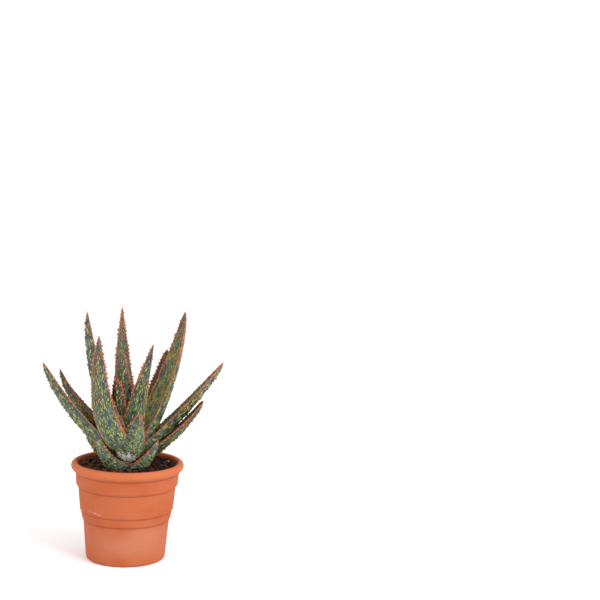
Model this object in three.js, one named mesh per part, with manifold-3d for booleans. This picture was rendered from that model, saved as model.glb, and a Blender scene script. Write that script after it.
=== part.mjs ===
// A potted zebra aloe: a clay pot in stepped bands, its soil, a short stem and a rosette of thick leaves.
// Millimetres, +Z up. The pot stands on Z = 0, and the origin is below the middle of the whole plant.

import * as THREE from 'three';
import { mergeVertices } from 'three/addons/utils/BufferGeometryUtils.js';
import Module from 'manifold-3d';

const wasm = await Module();
wasm.setup();

// The rosette reaches further to one side, so the pot's axis stands a little off the origin.
const POT_AXIS = { x: -5, y: 5.7 };

// Pot: pairs of radius and height, from the foot up.
const POT_SEGMENTS = 45;
const FOOT_RADIUS = 42.6;
const FOOT_EDGE = 3;
const LOWER_BAND = [[46.2, 42.8], [47.8, 45.2], [48.9, 52.4]];
const BODY = [[50.1, 54.3], [51.5, 70], [52.3, 78.4]];
const COLLAR = [[54.6, 81.4], [55.4, 94.1]];
const RIM_OUTSIDE = [[58.2, 96.7], [60, 98.9], [60.5, 101.3], [59.8, 103.7], [58, 105.2]];
const RIM_INSIDE = [[55.9, 105.6], [54.2, 104.9], [53.2, 103.2]];
const WALL_BOTTOM = { radius: 36.5, z: 8 };
const WALL_TOP = { radius: 52.2, z: 97 };
const DRAIN_RADIUS = 8;

// Soil: its level, the flat middle round the stem, and the height of its crumbs.
const SOIL_LEVEL = 101;
const SOIL_SEGMENTS = 36;
const SOIL_FLAT_RADIUS = 27;
const SOIL_RINGS = [31, 35, 39, 43, 47];
const CRUMB_HEIGHT = 0.9;
const CRUMB_WAVES = { across: 0.71, along: 0.63, fineAcross: 1.37, fineAlong: -1.11, coarse: 0.6 };

// Stem: it stands in a plain hole in the soil. Heights are above the soil.
const STEM_SEGMENTS = 20;
const STEM_DEPTH = 16;
const STEM_RADIUS = 12;
const STEM_TOP_RADIUS = 10;
const STEM_HEIGHT = 26;
const STEM_DOME = { height: 2, radiusShare: 0.6 };

// Clearance between neighbouring solids, and the block under the leaves that keeps them out of the soil.
const GAP = 0.4;
const FLOOR_CUT = { radius: 48, depth: 60 };

// Leaves: how far the teeth of a margin lie apart, how high they stand, and how high the warts are. Shares of
// the length run from 0 at the root to 1 at the tip.
const TOOTH_PITCH = 8;
const TOOTH_LOW = 0.7;
const TOOTH_HIGH = 2.3;
const TOOTH_SHOULDER = { at: 0.35, share: 0.8 };
const TOOTH_PEAK = { at: 0.7, share: 1 };
const WART_HEIGHT = 0.55;
const WRAP_RADIUS = { root: 13, blade: 26, over: 0.25 };
const FLARE_OVER = 0.45;
const OUTLINE_POWER = 1.7;
const BULK = { power: 2.4, end: 0.6, rootShare: 0.7, rootOver: 0.15 };
const KEEL_POWER = { root: 2, tip: 1.2 };
const TOOTH_FADE = { root: 0.12, tip: 0.06 };
const WART_FADE = { root: 0.08, tip: 0.12 };
const CROSS_ROWS_TO = 0.35;
const LEAST_SPANS = 11;
const UPPER_ROWS = [-0.62, 0, 0.62];
const BACK_ROWS = [0.8, 0.42, 0, -0.42, -0.8];
const SPINE_STEPS = 64;
const EVEN_PART = { from: 0.32, to: 0.65 };
const FEW_SPANS = 12;

// Points closer than WELD become one, and edges that change the shape by less than SLIVER go.
const WELD = 1e-3;
const SLIVER = 0.03;

// Each leaf: the side it grows to (azimuth), how far up the stem it starts (height above the soil) and how far
// out (root), its length along the middle, its angle from level at the root (lift) and how much that grows to
// the tip (rise), how far it swings sideways (sweep), its width and thickness, and how blunt it is (taper).
// Some low leaves have a wider root (flare) that clasps the rest with a radius of its own (wrap).
// Angles are in degrees. The list runs from the inner leaves to the outer ones: an inner leaf keeps its form
// and the ones outside it are pressed against it.
const LEAVES = [
  { name: 'leaf_inner_young', azimuth: 150, height: 23, root: 3, length: 42, lift: 84,
    rise: 2, sweep: 0, width: 13, thick: 4, taper: 0.8, hue: 'young' },
  { name: 'leaf_centre_narrow', azimuth: 243.9, height: 20, root: 4, length: 109.6, lift: 80.4,
    rise: -0.6, sweep: 1.9, width: 24.4, thick: 6, taper: 0.72, hue: 'grown' },
  { name: 'leaf_centre_tall', azimuth: 116.5, height: 22, root: 4, length: 150, lift: 75,
    rise: 12.7, sweep: -12, width: 29, thick: 7, taper: 1.14, hue: 'grown' },
  { name: 'leaf_right_tall', azimuth: 294, height: 15, root: 5, length: 130.2, lift: 75.1,
    rise: -7.8, sweep: 12.8, width: 28, thick: 7, taper: 1, hue: 'grown' },
  { name: 'leaf_centre_short', azimuth: 233.7, height: 16, root: 4, length: 84.5, lift: 65.2,
    rise: 21, sweep: 11, width: 19.6, thick: 5, taper: 0.43, hue: 'shaded' },
  { name: 'leaf_right_inner', azimuth: 45.3, height: 19, root: 4, length: 119, lift: 46.7,
    rise: 23.7, sweep: 16, width: 26.5, thick: 7, taper: 0.6, hue: 'shaded' },
  { name: 'leaf_left_inner', azimuth: 207.3, height: 18, root: 4, length: 159, lift: 60.7,
    rise: 24, sweep: -3, width: 32, thick: 8.8, taper: 0.81, hue: 'grown' },
  { name: 'leaf_left_shaded', azimuth: 158.7, height: 16, root: 4, length: 114.5, lift: 34.3,
    rise: 32, sweep: 36, width: 32, thick: 8.5, taper: 0.69, hue: 'shaded' },
  { name: 'leaf_right_largest', azimuth: 24, height: 12, root: 4, length: 166.5, lift: 56.8,
    rise: 21.3, sweep: 14.7, width: 33.5, thick: 10.8, taper: 0.7, hue: 'grown' },
  { name: 'leaf_left_tall', azimuth: 246.6, height: 20, root: 3, length: 176.5, lift: 14.7,
    rise: 80.7, sweep: 14.1, width: 31, thick: 7.6, taper: 0.81, hue: 'grown' },
  { name: 'leaf_back_right', azimuth: 76, height: 15, root: 4, length: 100, lift: 40,
    rise: 20, sweep: 0, width: 26, thick: 7.5, taper: 0.75, hue: 'grown' },
  { name: 'leaf_back_middle', azimuth: 94, height: 13, root: 4, length: 112, lift: 32,
    rise: 26, sweep: 4, width: 28, thick: 8, taper: 0.8, hue: 'grown' },
  { name: 'leaf_front_low', azimuth: 276.5, height: 10.5, root: 13, length: 69.5, lift: 50.7,
    rise: 6.8, sweep: 16, width: 33.5, thick: 8.4, taper: 0.93, flare: 0.1, wrap: 16, hue: 'grown' },
  { name: 'leaf_right_long', azimuth: 0, height: 10, root: 4, length: 141.5, lift: 42,
    rise: 10, sweep: 5, width: 25, thick: 8.5, taper: 0.52, hue: 'grown' },
  { name: 'leaf_left_long', azimuth: 191, height: 9, root: 4, length: 140.5, lift: 37.6,
    rise: 23.8, sweep: 14.6, width: 23, thick: 8.5, taper: 0.52, hue: 'grown' },
  { name: 'leaf_back_left', azimuth: 112, height: 8, root: 4, length: 116, lift: 25,
    rise: 32, sweep: 0, width: 28, thick: 8, taper: 0.8, hue: 'grown' },
  { name: 'leaf_back_left_low', azimuth: 140, height: 7, root: 4, length: 92, lift: 21,
    rise: 26, sweep: 6, width: 26, thick: 7.5, taper: 0.7, hue: 'grown' },
  { name: 'leaf_back_right_low', azimuth: 40, height: 5, root: 4, length: 74, lift: 25,
    rise: 24, sweep: -4, width: 25, thick: 7.5, taper: 0.65, hue: 'grown' },
  { name: 'leaf_right_blunt', azimuth: 350, height: 3, root: 4, length: 103, lift: 30.6,
    rise: 23.8, sweep: 14.5, width: 22.9, thick: 6.8, taper: 0.3, hue: 'grown' },
  { name: 'leaf_front_left_low', azimuth: 221, height: -2, root: 15, length: 50, lift: 40,
    rise: 40, sweep: -22, width: 25.5, thick: 7.5, taper: 0.76, flare: 0.55, wrap: 18, hue: 'grown' },
  { name: 'leaf_front_right_low', azimuth: 311, height: -2, root: 13.5, length: 45.5, lift: 39,
    rise: 26, sweep: 28, width: 19.5, thick: 7, taper: 0.82, flare: 0.5, wrap: 17, hue: 'grown' },
  { name: 'leaf_left_blunt', azimuth: 182.5, height: 0.4, root: 5, length: 56.5, lift: 24,
    rise: 36.5, sweep: -17, width: 20, thick: 6.3, taper: 0.33, hue: 'grown' },
  { name: 'leaf_back_low', azimuth: 66, height: -1, root: 6, length: 72, lift: 22,
    rise: 34, sweep: 6, width: 27, thick: 7, taper: 0.75, hue: 'grown' },
  { name: 'leaf_back_small', azimuth: 122, height: -1, root: 6, length: 58, lift: 24,
    rise: 36, sweep: 6, width: 27, thick: 7, taper: 0.75, hue: 'grown' },
];

const TERRACOTTA = { color: 0xd27248, roughness: 0.85, metalness: 0 };
const PEAT = { color: 0x3a2a22, roughness: 1, metalness: 0 };
const STEM_SKIN = { color: 0x6f6a45, roughness: 0.8, metalness: 0 };
const LEAF_SKINS = {
  grown: { color: 0x56716f, roughness: 0.55, metalness: 0 },
  shaded: { color: 0x4a5a45, roughness: 0.6, metalness: 0 },
  young: { color: 0x7f9c4c, roughness: 0.5, metalness: 0 },
};

const radians = THREE.MathUtils.degToRad;

/** A number in 0..1 that stands for chance and is the same on every run. */
function chance(index) {
  const value = Math.sin(index * 12.9898 + 4.1414) * 43758.5453;
  return value - Math.floor(value);
}

/** The solid of a closed geometry. */
function solidOf(geometry) {
  const bare = geometry.clone();
  bare.deleteAttribute('normal');
  bare.deleteAttribute('uv');
  const welded = mergeVertices(bare, WELD);
  return new wasm.Manifold(new wasm.Mesh({
    numProp: 3,
    vertProperties: new Float32Array(welded.attributes.position.array),
    triVerts: new Uint32Array(welded.index.array),
  }));
}

/** The geometry of a solid, with flat faces. */
function geometryOf(solid) {
  const mesh = solid.getMesh();
  const geometry = new THREE.BufferGeometry();
  geometry.setAttribute('position', new THREE.BufferAttribute(mesh.vertProperties, 3));
  geometry.setIndex(new THREE.BufferAttribute(mesh.triVerts, 1));
  geometry.computeVertexNormals();
  return geometry;
}

/** The largest body of a solid without its slivers: loose scraps that a cut leaves are dropped. */
function largestBody(solid) {
  const bodies = solid.asOriginal().simplify(SLIVER).decompose();
  return bodies.reduce((best, body) => (body.volume() > best.volume() ? body : best));
}

/** A body of revolution about Z from a profile of [radius, z] points. */
function turned(profile, segments) {
  const points = profile.map(([radius, z]) => new THREE.Vector2(radius, z));
  return new THREE.LatheGeometry(points, segments).rotateX(Math.PI / 2);
}

/** Points on a quarter of a round edge from angle a to angle b, in degrees. */
function roundEdge(centreRadius, centreZ, radius, a, b, steps) {
  return Array.from({ length: steps + 1 }, (_, i) => {
    const angle = radians(a + (b - a) * i / steps);
    return [centreRadius + radius * Math.cos(angle), centreZ + radius * Math.sin(angle)];
  });
}

/** The inner wall's radius at a height. */
function wallRadius(z) {
  const share = (z - WALL_BOTTOM.z) / (WALL_TOP.z - WALL_BOTTOM.z);
  return WALL_BOTTOM.radius + (WALL_TOP.radius - WALL_BOTTOM.radius) * share;
}

function potGeometry() {
  const foot = roundEdge(FOOT_RADIUS - FOOT_EDGE, FOOT_EDGE, FOOT_EDGE, -90, 0, 3);
  const drain = [DRAIN_RADIUS, 0];
  const profile = [
    drain,
    ...foot,
    ...LOWER_BAND,
    ...BODY,
    ...COLLAR,
    ...RIM_OUTSIDE,
    ...RIM_INSIDE,
    [WALL_TOP.radius, WALL_TOP.z],
    [WALL_BOTTOM.radius, WALL_BOTTOM.z],
    [DRAIN_RADIUS, WALL_BOTTOM.z],
    drain,
  ];
  return turned(profile, POT_SEGMENTS);
}

/** Height of the crumbs above the soil's level at a point. */
function crumb(x, y) {
  const waves = CRUMB_WAVES;
  const coarse = Math.sin(waves.across * x + 1) * Math.cos(waves.along * y);
  const fine = Math.sin(waves.fineAcross * x + waves.fineAlong * y + 2);
  return CRUMB_HEIGHT * (waves.coarse * coarse + (1 - waves.coarse) * fine);
}

function soilGeometry() {
  const bottom = WALL_BOTTOM.z + GAP;
  const edge = wallRadius(SOIL_LEVEL) - GAP;
  const hole = STEM_RADIUS + GAP;
  const rings = [...SOIL_RINGS].reverse().map((radius) => [radius, SOIL_LEVEL]);
  const profile = [
    [0, bottom],
    [wallRadius(bottom) - GAP, bottom],
    [wallRadius(WALL_TOP.z) - GAP, WALL_TOP.z],
    [edge, SOIL_LEVEL],
    ...rings,
    [SOIL_FLAT_RADIUS, SOIL_LEVEL],
    [hole, SOIL_LEVEL],
    [hole, SOIL_LEVEL - STEM_DEPTH - GAP],
    [0, SOIL_LEVEL - STEM_DEPTH - GAP],
  ];
  const geometry = turned(profile, SOIL_SEGMENTS);
  const position = geometry.attributes.position;
  for (let i = 0; i < position.count; i += 1) {
    const x = position.getX(i);
    const y = position.getY(i);
    const radius = Math.hypot(x, y);
    const onTop = Math.abs(position.getZ(i) - SOIL_LEVEL) < WELD;
    if (onTop && radius > SOIL_FLAT_RADIUS + 1) {
      position.setZ(i, SOIL_LEVEL + crumb(x, y));
    }
  }
  return geometry;
}

/** The stem, its sides moved out by grow. Its origin is on the soil's level. */
function stemGeometry(grow) {
  return turned([
    [0, -STEM_DEPTH - grow],
    [STEM_RADIUS + grow, -STEM_DEPTH - grow],
    [STEM_RADIUS + grow, 0],
    [STEM_TOP_RADIUS + grow, STEM_HEIGHT - STEM_DOME.height],
    [STEM_TOP_RADIUS * STEM_DOME.radiusShare + grow, STEM_HEIGHT],
    [0, STEM_HEIGHT + grow],
  ], STEM_SEGMENTS);
}

/** Points and directions along a leaf's middle, with the leaf growing along +X. */
function spineOf(leaf) {
  const step = leaf.length / SPINE_STEPS;
  const point = new THREE.Vector3(leaf.root, 0, 0);
  return Array.from({ length: SPINE_STEPS + 1 }, (_, i) => {
    const t = i / SPINE_STEPS;
    const turn = radians(leaf.sweep) * t;
    const lift = radians(leaf.lift + leaf.rise * t);
    const level = Math.cos(lift);
    const along = new THREE.Vector3(level * Math.cos(turn), level * Math.sin(turn), Math.sin(lift));
    const across = new THREE.Vector3(-Math.sin(turn), Math.cos(turn), 0);
    const up = new THREE.Vector3().crossVectors(along, across);
    const here = point.clone();
    point.addScaledVector(along, step);
    return { here, along, across, up };
  });
}

/** The place on the spine at a share t of the length, between its points. */
function placeAt(spine, t) {
  const at = Math.min(t, 1) * SPINE_STEPS;
  const low = Math.min(Math.floor(at), SPINE_STEPS - 1);
  const share = at - low;
  const mix = (key) => spine[low][key].clone().lerp(spine[low + 1][key], share);
  return { here: mix('here'), along: mix('along'), across: mix('across'), up: mix('up') };
}

/** How many teeth a margin has. */
function spansOf(leaf) {
  return Math.max(LEAST_SPANS, Math.round(leaf.length / TOOTH_PITCH));
}

/** A soft step from 0 to 1 as a share goes from 0 to 1. */
function softStep(share) {
  const held = Math.min(1, share);
  return held * held * (3 - 2 * held);
}

/** Half the width along the skin; a flared leaf is wider where it clasps the stem. */
function halfWidth(leaf, t) {
  const flare = 1 + (leaf.flare ?? 0) * (1 - softStep(t / FLARE_OVER));
  return leaf.width / 2 * (1 - t ** OUTLINE_POWER) ** leaf.taper * flare;
}

function thickness(leaf, t) {
  const fromRoot = BULK.rootShare + (1 - BULK.rootShare) * Math.min(1, t / BULK.rootOver);
  return leaf.thick * (1 - t ** BULK.power) ** BULK.end * fromRoot;
}

/** Share of the thickness left at x of the half width: rounded near the root, keeled near the tip. */
function depthShare(t, x) {
  return 1 - Math.abs(x) ** (KEEL_POWER.root + (KEEL_POWER.tip - KEEL_POWER.root) * t);
}

/** The radius that the leaf's cross-section is bent to, tight round the stem and wider along the blade. */
function wrapRadius(leaf, t) {
  const root = leaf.wrap ?? WRAP_RADIUS.root;
  return root + (WRAP_RADIUS.blade - root) * softStep(t / WRAP_RADIUS.over);
}

/**
 * A point of a leaf: x is the place across it (-1 to 1 from margin to margin), out is how far beyond the
 * margin it lies, and down is how far it lies below the upper face.
 */
function leafPoint(leaf, spine, t, x, out, down) {
  const { here, across, up } = placeAt(spine, t);
  const bend = wrapRadius(leaf, t);
  const angle = x * halfWidth(leaf, t) / bend;
  const sideways = bend * Math.sin(angle) + out * Math.sign(x) * Math.cos(angle) + down * Math.sin(angle);
  const raised = bend * (1 - Math.cos(angle)) + out * Math.sin(Math.abs(angle)) - down * Math.cos(angle);
  return here.addScaledVector(across, sideways).addScaledVector(up, raised);
}

/** How tall the teeth may be at t: none in the clasping root or at the very tip. */
function toothFade(t) {
  return Math.min(1, t / TOOTH_FADE.root) * Math.min(1, (1 - t) / TOOTH_FADE.tip);
}

/** Warts stand in cross rows near the root and are staggered further out. */
function wartAt(leaf, t, station, row) {
  const shift = t < CROSS_ROWS_TO ? 0 : row;
  const raised = (station + shift) % 2 === 0;
  const fade = Math.min(1, t / WART_FADE.root) * Math.min(1, (1 - t) / WART_FADE.tip);
  return raised ? WART_HEIGHT * fade : 0;
}

/** Collects points and triangles of one closed surface. */
class Shell {
  constructor() {
    this.points = [];
    this.triangles = [];
  }

  add(point) {
    this.points.push(point.x, point.y, point.z);
    return this.points.length / 3 - 1;
  }

  face(a, b, c) {
    this.triangles.push(a, b, c);
  }

  /** Two triangles on a quad in order a, b, c, d, split from b to d or from a to c. */
  quad(a, b, c, d, splitFromB) {
    if (splitFromB) {
      this.face(a, b, d);
      this.face(b, c, d);
    } else {
      this.face(a, b, c);
      this.face(a, c, d);
    }
  }

  geometry() {
    const geometry = new THREE.BufferGeometry();
    geometry.setAttribute('position', new THREE.Float32BufferAttribute(this.points, 3));
    geometry.setIndex(this.triangles);
    return geometry;
  }
}

/** Fills the strip between a pair of row points and the margin points from one station to the next. */
function fillMargin(shell, rowStart, rowEnd, margin, flip) {
  const middle = Math.floor(margin.length / 2);
  const put = (a, b, c) => (flip ? shell.face(a, c, b) : shell.face(a, b, c));
  for (let k = 0; k + 1 < margin.length; k += 1) {
    put(k < middle ? rowStart : rowEnd, margin[k], margin[k + 1]);
    if (k + 1 === middle) {
      put(rowStart, margin[middle], rowEnd);
    }
  }
}

/** A leaf growing along +X from the origin, with toothed margins and warts on its back. */
function leafGeometry(leaf, seed) {
  const spine = spineOf(leaf);
  const spans = spansOf(leaf);
  const shell = new Shell();
  const tip = shell.add(spine[SPINE_STEPS].here);
  const upper = [];
  const back = [];
  const margins = [[], []];
  for (let i = 0; i < spans; i += 1) {
    const t = i / spans;
    upper.push(UPPER_ROWS.map((x) => shell.add(leafPoint(leaf, spine, t, x, 0, 0))));
    back.push(BACK_ROWS.map((x, row) => {
      const down = thickness(leaf, t) * depthShare(t, x) + wartAt(leaf, t, i, row);
      return shell.add(leafPoint(leaf, spine, t, x, 0, down));
    }));
    [1, -1].forEach((side, index) => {
      const tall = TOOTH_LOW + (TOOTH_HIGH - TOOTH_LOW) * chance(seed * 97 + i * 2 + index);
      const marks = [{ at: 0, share: 0 }, TOOTH_SHOULDER, TOOTH_PEAK];
      margins[index].push(marks.map(({ at, share }) => {
        const here = (i + at) / spans;
        return shell.add(leafPoint(leaf, spine, here, side, tall * share * toothFade(here), 0));
      }));
    });
  }
  for (let i = 0; i < spans; i += 1) {
    const last = i === spans - 1;
    const next = (rows) => (last ? rows[i].map(() => tip) : rows[i + 1]);
    const upperEnd = next(upper);
    const backEnd = next(back);
    [0, 1].forEach((index) => {
      const points = [...margins[index][i], last ? tip : margins[index][i + 1][0]];
      const upperRow = index === 0 ? 2 : 0;
      const backRow = index === 0 ? 0 : 4;
      fillMarginOrTip(shell, upper[i][upperRow], upperEnd[upperRow], points, last, index === 0);
      fillMarginOrTip(shell, back[i][backRow], backEnd[backRow], points, last, index === 1);
    });
    fillRows(shell, upper[i], upperEnd, last, i, false);
    fillRows(shell, back[i], backEnd, last, i, true);
  }
  closeRoot(shell, [...upper[0], margins[0][0][0], ...back[0], margins[1][0][0]], spine[0]);
  return shell.geometry();
}

/** The strips between neighbouring rows from one station to the next, or to the tip. */
function fillRows(shell, start, end, last, station, staggered) {
  for (let row = 0; row + 1 < start.length; row += 1) {
    if (last) {
      shell.face(start[row], end[row], start[row + 1]);
    } else {
      const splitFromB = !staggered || (station + row) % 2 === 0;
      shell.quad(start[row], end[row], end[row + 1], start[row + 1], splitFromB);
    }
  }
}

/** The strip along a margin; in the last span everything runs to the tip. */
function fillMarginOrTip(shell, rowStart, rowEnd, points, last, flip) {
  if (!last) {
    fillMargin(shell, rowStart, rowEnd, points, flip);
    return;
  }
  for (let k = 0; k + 1 < points.length; k += 1) {
    const [b, c] = flip ? [points[k + 1], points[k]] : [points[k], points[k + 1]];
    shell.face(rowStart, b, c);
  }
}

/** Closes the flat ring of the root, which is a crescent, with triangles that stay inside it. */
function closeRoot(shell, ring, { here, across, up }) {
  const outline = ring.map((index) => {
    const point = new THREE.Vector3().fromArray(shell.points, index * 3).sub(here);
    return new THREE.Vector2(point.dot(across), point.dot(up));
  });
  const clockwise = THREE.ShapeUtils.isClockWise(outline);
  THREE.ShapeUtils.triangulateShape(outline, []).forEach(([a, b, c]) => {
    const sameWay = THREE.ShapeUtils.isClockWise([outline[a], outline[b], outline[c]]) === clockwise;
    shell.face(ring[a], ring[sameWay ? b : c], ring[sameWay ? c : b]);
  });
}

/** The stations of a leaf's clearance hull: the leaf's own, but every second one of its even middle part. */
function clearanceStations(spans) {
  return Array.from({ length: spans }, (_, i) => i)
    .filter((i) => i % 2 === 0 || spans < FEW_SPANS || i / spans < EVEN_PART.from || i / spans > EVEN_PART.to)
    .map((i) => i / spans);
}

/** A plain hull round a leaf that keeps GAP clear of it on every side, for cutting its neighbours. */
function leafClearance(leaf) {
  const spine = spineOf(leaf);
  const shell = new Shell();
  const sides = [-1, ...UPPER_ROWS, 1];
  const backs = [1, ...BACK_ROWS, -1];
  const rings = clearanceStations(spansOf(leaf)).map((t) => {
    const out = GAP + TOOTH_HIGH * toothFade(t);
    const above = sides.map((x) => leafPoint(leaf, spine, t, x, Math.abs(x) === 1 ? out : 0, -GAP));
    const below = backs.map((x) => {
      const down = thickness(leaf, t) * depthShare(t, x) + GAP + WART_HEIGHT;
      return leafPoint(leaf, spine, t, x, Math.abs(x) === 1 ? out : 0, down);
    });
    const behindRoot = t === 0 ? -GAP : 0;
    const ring = [...above, ...below].map((point) => point.addScaledVector(spine[0].along, behindRoot));
    return ring.map((point) => shell.add(point));
  });
  rings.slice(0, -1).forEach((ring, i) => {
    ring.forEach((_, k) => {
      const n = (k + 1) % ring.length;
      shell.quad(ring[k], rings[i + 1][k], rings[i + 1][n], ring[n], true);
    });
  });
  closeRoot(shell, rings[0], spine[0]);
  const end = spine[SPINE_STEPS];
  const tip = shell.add(end.here.clone().addScaledVector(end.along, 2 * GAP));
  const last = rings[rings.length - 1];
  last.forEach((index, k) => shell.face(index, tip, last[(k + 1) % last.length]));
  return shell.geometry();
}

/** A solid set at its leaf's place on the stem. */
function onStem(solid, leaf) {
  return solid.rotate([0, 0, leaf.azimuth]).translate([0, 0, leaf.height]);
}

/** A solid taken from its place on the stem back to the origin. */
function offStem(solid, leaf) {
  return solid.translate([0, 0, -leaf.height]).rotate([0, 0, -leaf.azimuth]);
}

/** All leaf meshes, each one cut clear of the stem, of the soil and of the leaves before it. */
function leafMeshes() {
  const { radius, depth } = FLOOR_CUT;
  const floor = turned([[0, -depth], [radius, -depth], [radius, GAP], [0, GAP]], SOIL_SEGMENTS);
  const kept = [solidOf(stemGeometry(GAP)), solidOf(floor)];
  return LEAVES.map((leaf, index) => {
    const whole = onStem(solidOf(leafGeometry(leaf, index + 1)), leaf);
    const cut = kept.reduce((solid, neighbour) => solid.subtract(neighbour), whole);
    kept.push(onStem(solidOf(leafClearance(leaf)), leaf));
    const mesh = new THREE.Mesh(
      geometryOf(largestBody(offStem(cut, leaf))),
      new THREE.MeshStandardMaterial({ ...LEAF_SKINS[leaf.hue], flatShading: true }),
    );
    mesh.name = leaf.name;
    mesh.position.z = leaf.height;
    mesh.rotation.z = radians(leaf.azimuth);
    return mesh;
  });
}

/** A named mesh of one closed geometry. */
function named(name, geometry, skin) {
  const mesh = new THREE.Mesh(geometryOf(solidOf(geometry)), new THREE.MeshStandardMaterial(skin));
  mesh.name = name;
  return mesh;
}

const plant = new THREE.Group();
plant.position.z = SOIL_LEVEL;
plant.add(named('stem', stemGeometry(0), STEM_SKIN));
plant.add(...leafMeshes());

const potted = new THREE.Group();
potted.position.set(POT_AXIS.x, POT_AXIS.y, 0);
potted.add(named('pot', potGeometry(), TERRACOTTA));
potted.add(named('soil', soilGeometry(), PEAT));
potted.add(plant);

export default potted;
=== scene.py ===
"""A zebra aloe in a banded clay pot.

Thick leaves with toothed coral margins and warts grow from a short stem in crumbly soil. Lengths are in
millimetres and angles in degrees unless a description says otherwise.
"""
import logging
import math
from dataclasses import dataclass
from enum import Enum
from typing import Any, Mapping, Optional, Sequence, Union

import bpy
import numpy as np
from mathutils import Matrix, Vector


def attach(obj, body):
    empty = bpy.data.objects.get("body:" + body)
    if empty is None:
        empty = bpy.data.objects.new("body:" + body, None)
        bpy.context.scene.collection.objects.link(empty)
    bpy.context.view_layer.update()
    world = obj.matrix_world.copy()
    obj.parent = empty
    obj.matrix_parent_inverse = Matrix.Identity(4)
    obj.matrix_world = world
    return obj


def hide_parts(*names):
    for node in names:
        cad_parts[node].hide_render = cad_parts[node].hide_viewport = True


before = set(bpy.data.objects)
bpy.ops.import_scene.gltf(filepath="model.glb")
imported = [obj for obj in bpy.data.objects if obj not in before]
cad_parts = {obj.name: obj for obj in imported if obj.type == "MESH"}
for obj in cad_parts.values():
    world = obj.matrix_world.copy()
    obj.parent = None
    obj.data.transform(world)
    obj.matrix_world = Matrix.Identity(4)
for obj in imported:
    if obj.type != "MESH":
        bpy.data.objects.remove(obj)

LOG = logging.getLogger("aloe")
MM = 0.001
POT_AXIS = (-5.0, 5.7)
SOIL_LEVEL = 101.0
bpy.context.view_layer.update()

# The rule that makes seeded numbers.
CHANCE_FACTORS = (12.9898, 78.233, 37.719)
CHANCE_SPREAD = 43758.5453
SEED_FACTOR = 17.17
SEED_START = 3.3

# Shader noise lies around this value. Sockets of a Mix node that mixes colours, by number.
NOISE_MIDDLE = 0.5
MIX_SHARE, MIX_FIRST, MIX_SECOND, MIX_RESULT = 0, 6, 7, 2

Colour = tuple[float, float, float]
Span = tuple[float, float]
Array = np.ndarray


def linear(value: float) -> float:
    """A screen value from 0 to 1 as linear light, by the standard curve of screens."""
    return ((value + 0.055) / 1.055) ** 2.4 if value > 0.04045 else value / 12.92


def tint(red: float, green: float, blue: float) -> Colour:
    """A colour for the shader from screen values of 0 to 255."""
    return linear(red / 255), linear(green / 255), linear(blue / 255)


def chance(*numbers: Array, seed: float = 0.0) -> Array:
    """Numbers in 0 to 1 that stand for chance and are the same on every run.

    Args:
        numbers: One or more arrays of cell numbers.
        seed: Chooses another set of numbers.

    Returns:
        One number for each set of cell numbers.
    """
    total = np.float64(seed * SEED_FACTOR + SEED_START)
    for factor, number in zip(CHANCE_FACTORS, numbers):
        total = total + np.asarray(number, dtype=np.float64) * factor
    value = np.sin(total) * CHANCE_SPREAD
    return value - np.floor(value)


def smooth(value: Array, low: float = 0.0, high: float = 1.0) -> Array:
    """A soft step from 0 at low to 1 at high."""
    share = np.clip((np.asarray(value) - low) / (high - low), 0.0, 1.0)
    return share * share * (3 - 2 * share)


def bell(value: Array, middle: float, width: float) -> Array:
    """1 at the middle, falling softly to 0 over about twice the width."""
    return np.exp(-((value - middle) / width) ** 2)


@dataclass(frozen=True)
class Hills:
    """Soft random hills: how high and how wide they are, and the seed that chooses them."""

    high: float
    wide: float
    seed: float

    def at(self, x: Array, y: Array, number: float = 0.0) -> Array:
        """Their height over a plane.

        Args:
            x: First coordinate of the points.
            y: Second coordinate of the points.
            number: Chooses other hills of the same kind.

        Returns:
            The height at each point, up to high above or below 0.
        """
        seed = self.seed + number
        u, v = np.asarray(x) / self.wide, np.asarray(y) / self.wide
        i, j = np.floor(u), np.floor(v)
        a, b = smooth(u - i), smooth(v - j)
        corner = [[chance(i + p, j + q, seed=seed) for q in (0, 1)] for p in (0, 1)]
        near = corner[0][0] * (1 - b) + corner[0][1] * b
        far = corner[1][0] * (1 - b) + corner[1][1] * b
        return self.high * (2 * (near * (1 - a) + far * a) - 1)


def ring_faces(rings: int, count: int, looped: bool = False) -> list[list[int]]:
    """Quads between rings of points.

    Args:
        rings: Number of rings.
        count: Number of points in a ring.
        looped: Whether the last ring joins the first.

    Returns:
        The corner numbers of each quad.
    """
    i, j = np.meshgrid(np.arange(rings if looped else rings - 1), np.arange(count), indexing="ij")
    ahead, beside = (i + 1) % rings * count, (j + 1) % count
    corners = [i * count + j, ahead + j, ahead + beside, i * count + beside]
    return np.stack(corners, axis=-1).reshape(-1, 4).tolist()


def flipped(faces: list[list[int]]) -> list[list[int]]:
    """The same faces, pointing the other way."""
    return [face[::-1] for face in faces]


def turned(radius: Array, height: Array, segments: int) -> tuple[Array, Array, Array]:
    """Repeats the points of a profile round the pot's axis.

    Args:
        radius: Radius of each point of the profile.
        height: Height of each point.
        segments: Number of places round the axis.

    Returns:
        Radius, height and angle in radians of all points, one ring for each point of the profile.
    """
    turn = np.arange(segments) * 2 * np.pi / segments
    return np.repeat(radius, segments), np.repeat(height, segments), np.tile(turn, len(radius))


def on_axis(x: Array, y: Array, z: Array) -> Array:
    """Rows of x, y, z for points whose x and y are measured from the pot's axis."""
    return np.stack([x + POT_AXIS[0], y + POT_AXIS[1], z], axis=1)


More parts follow.
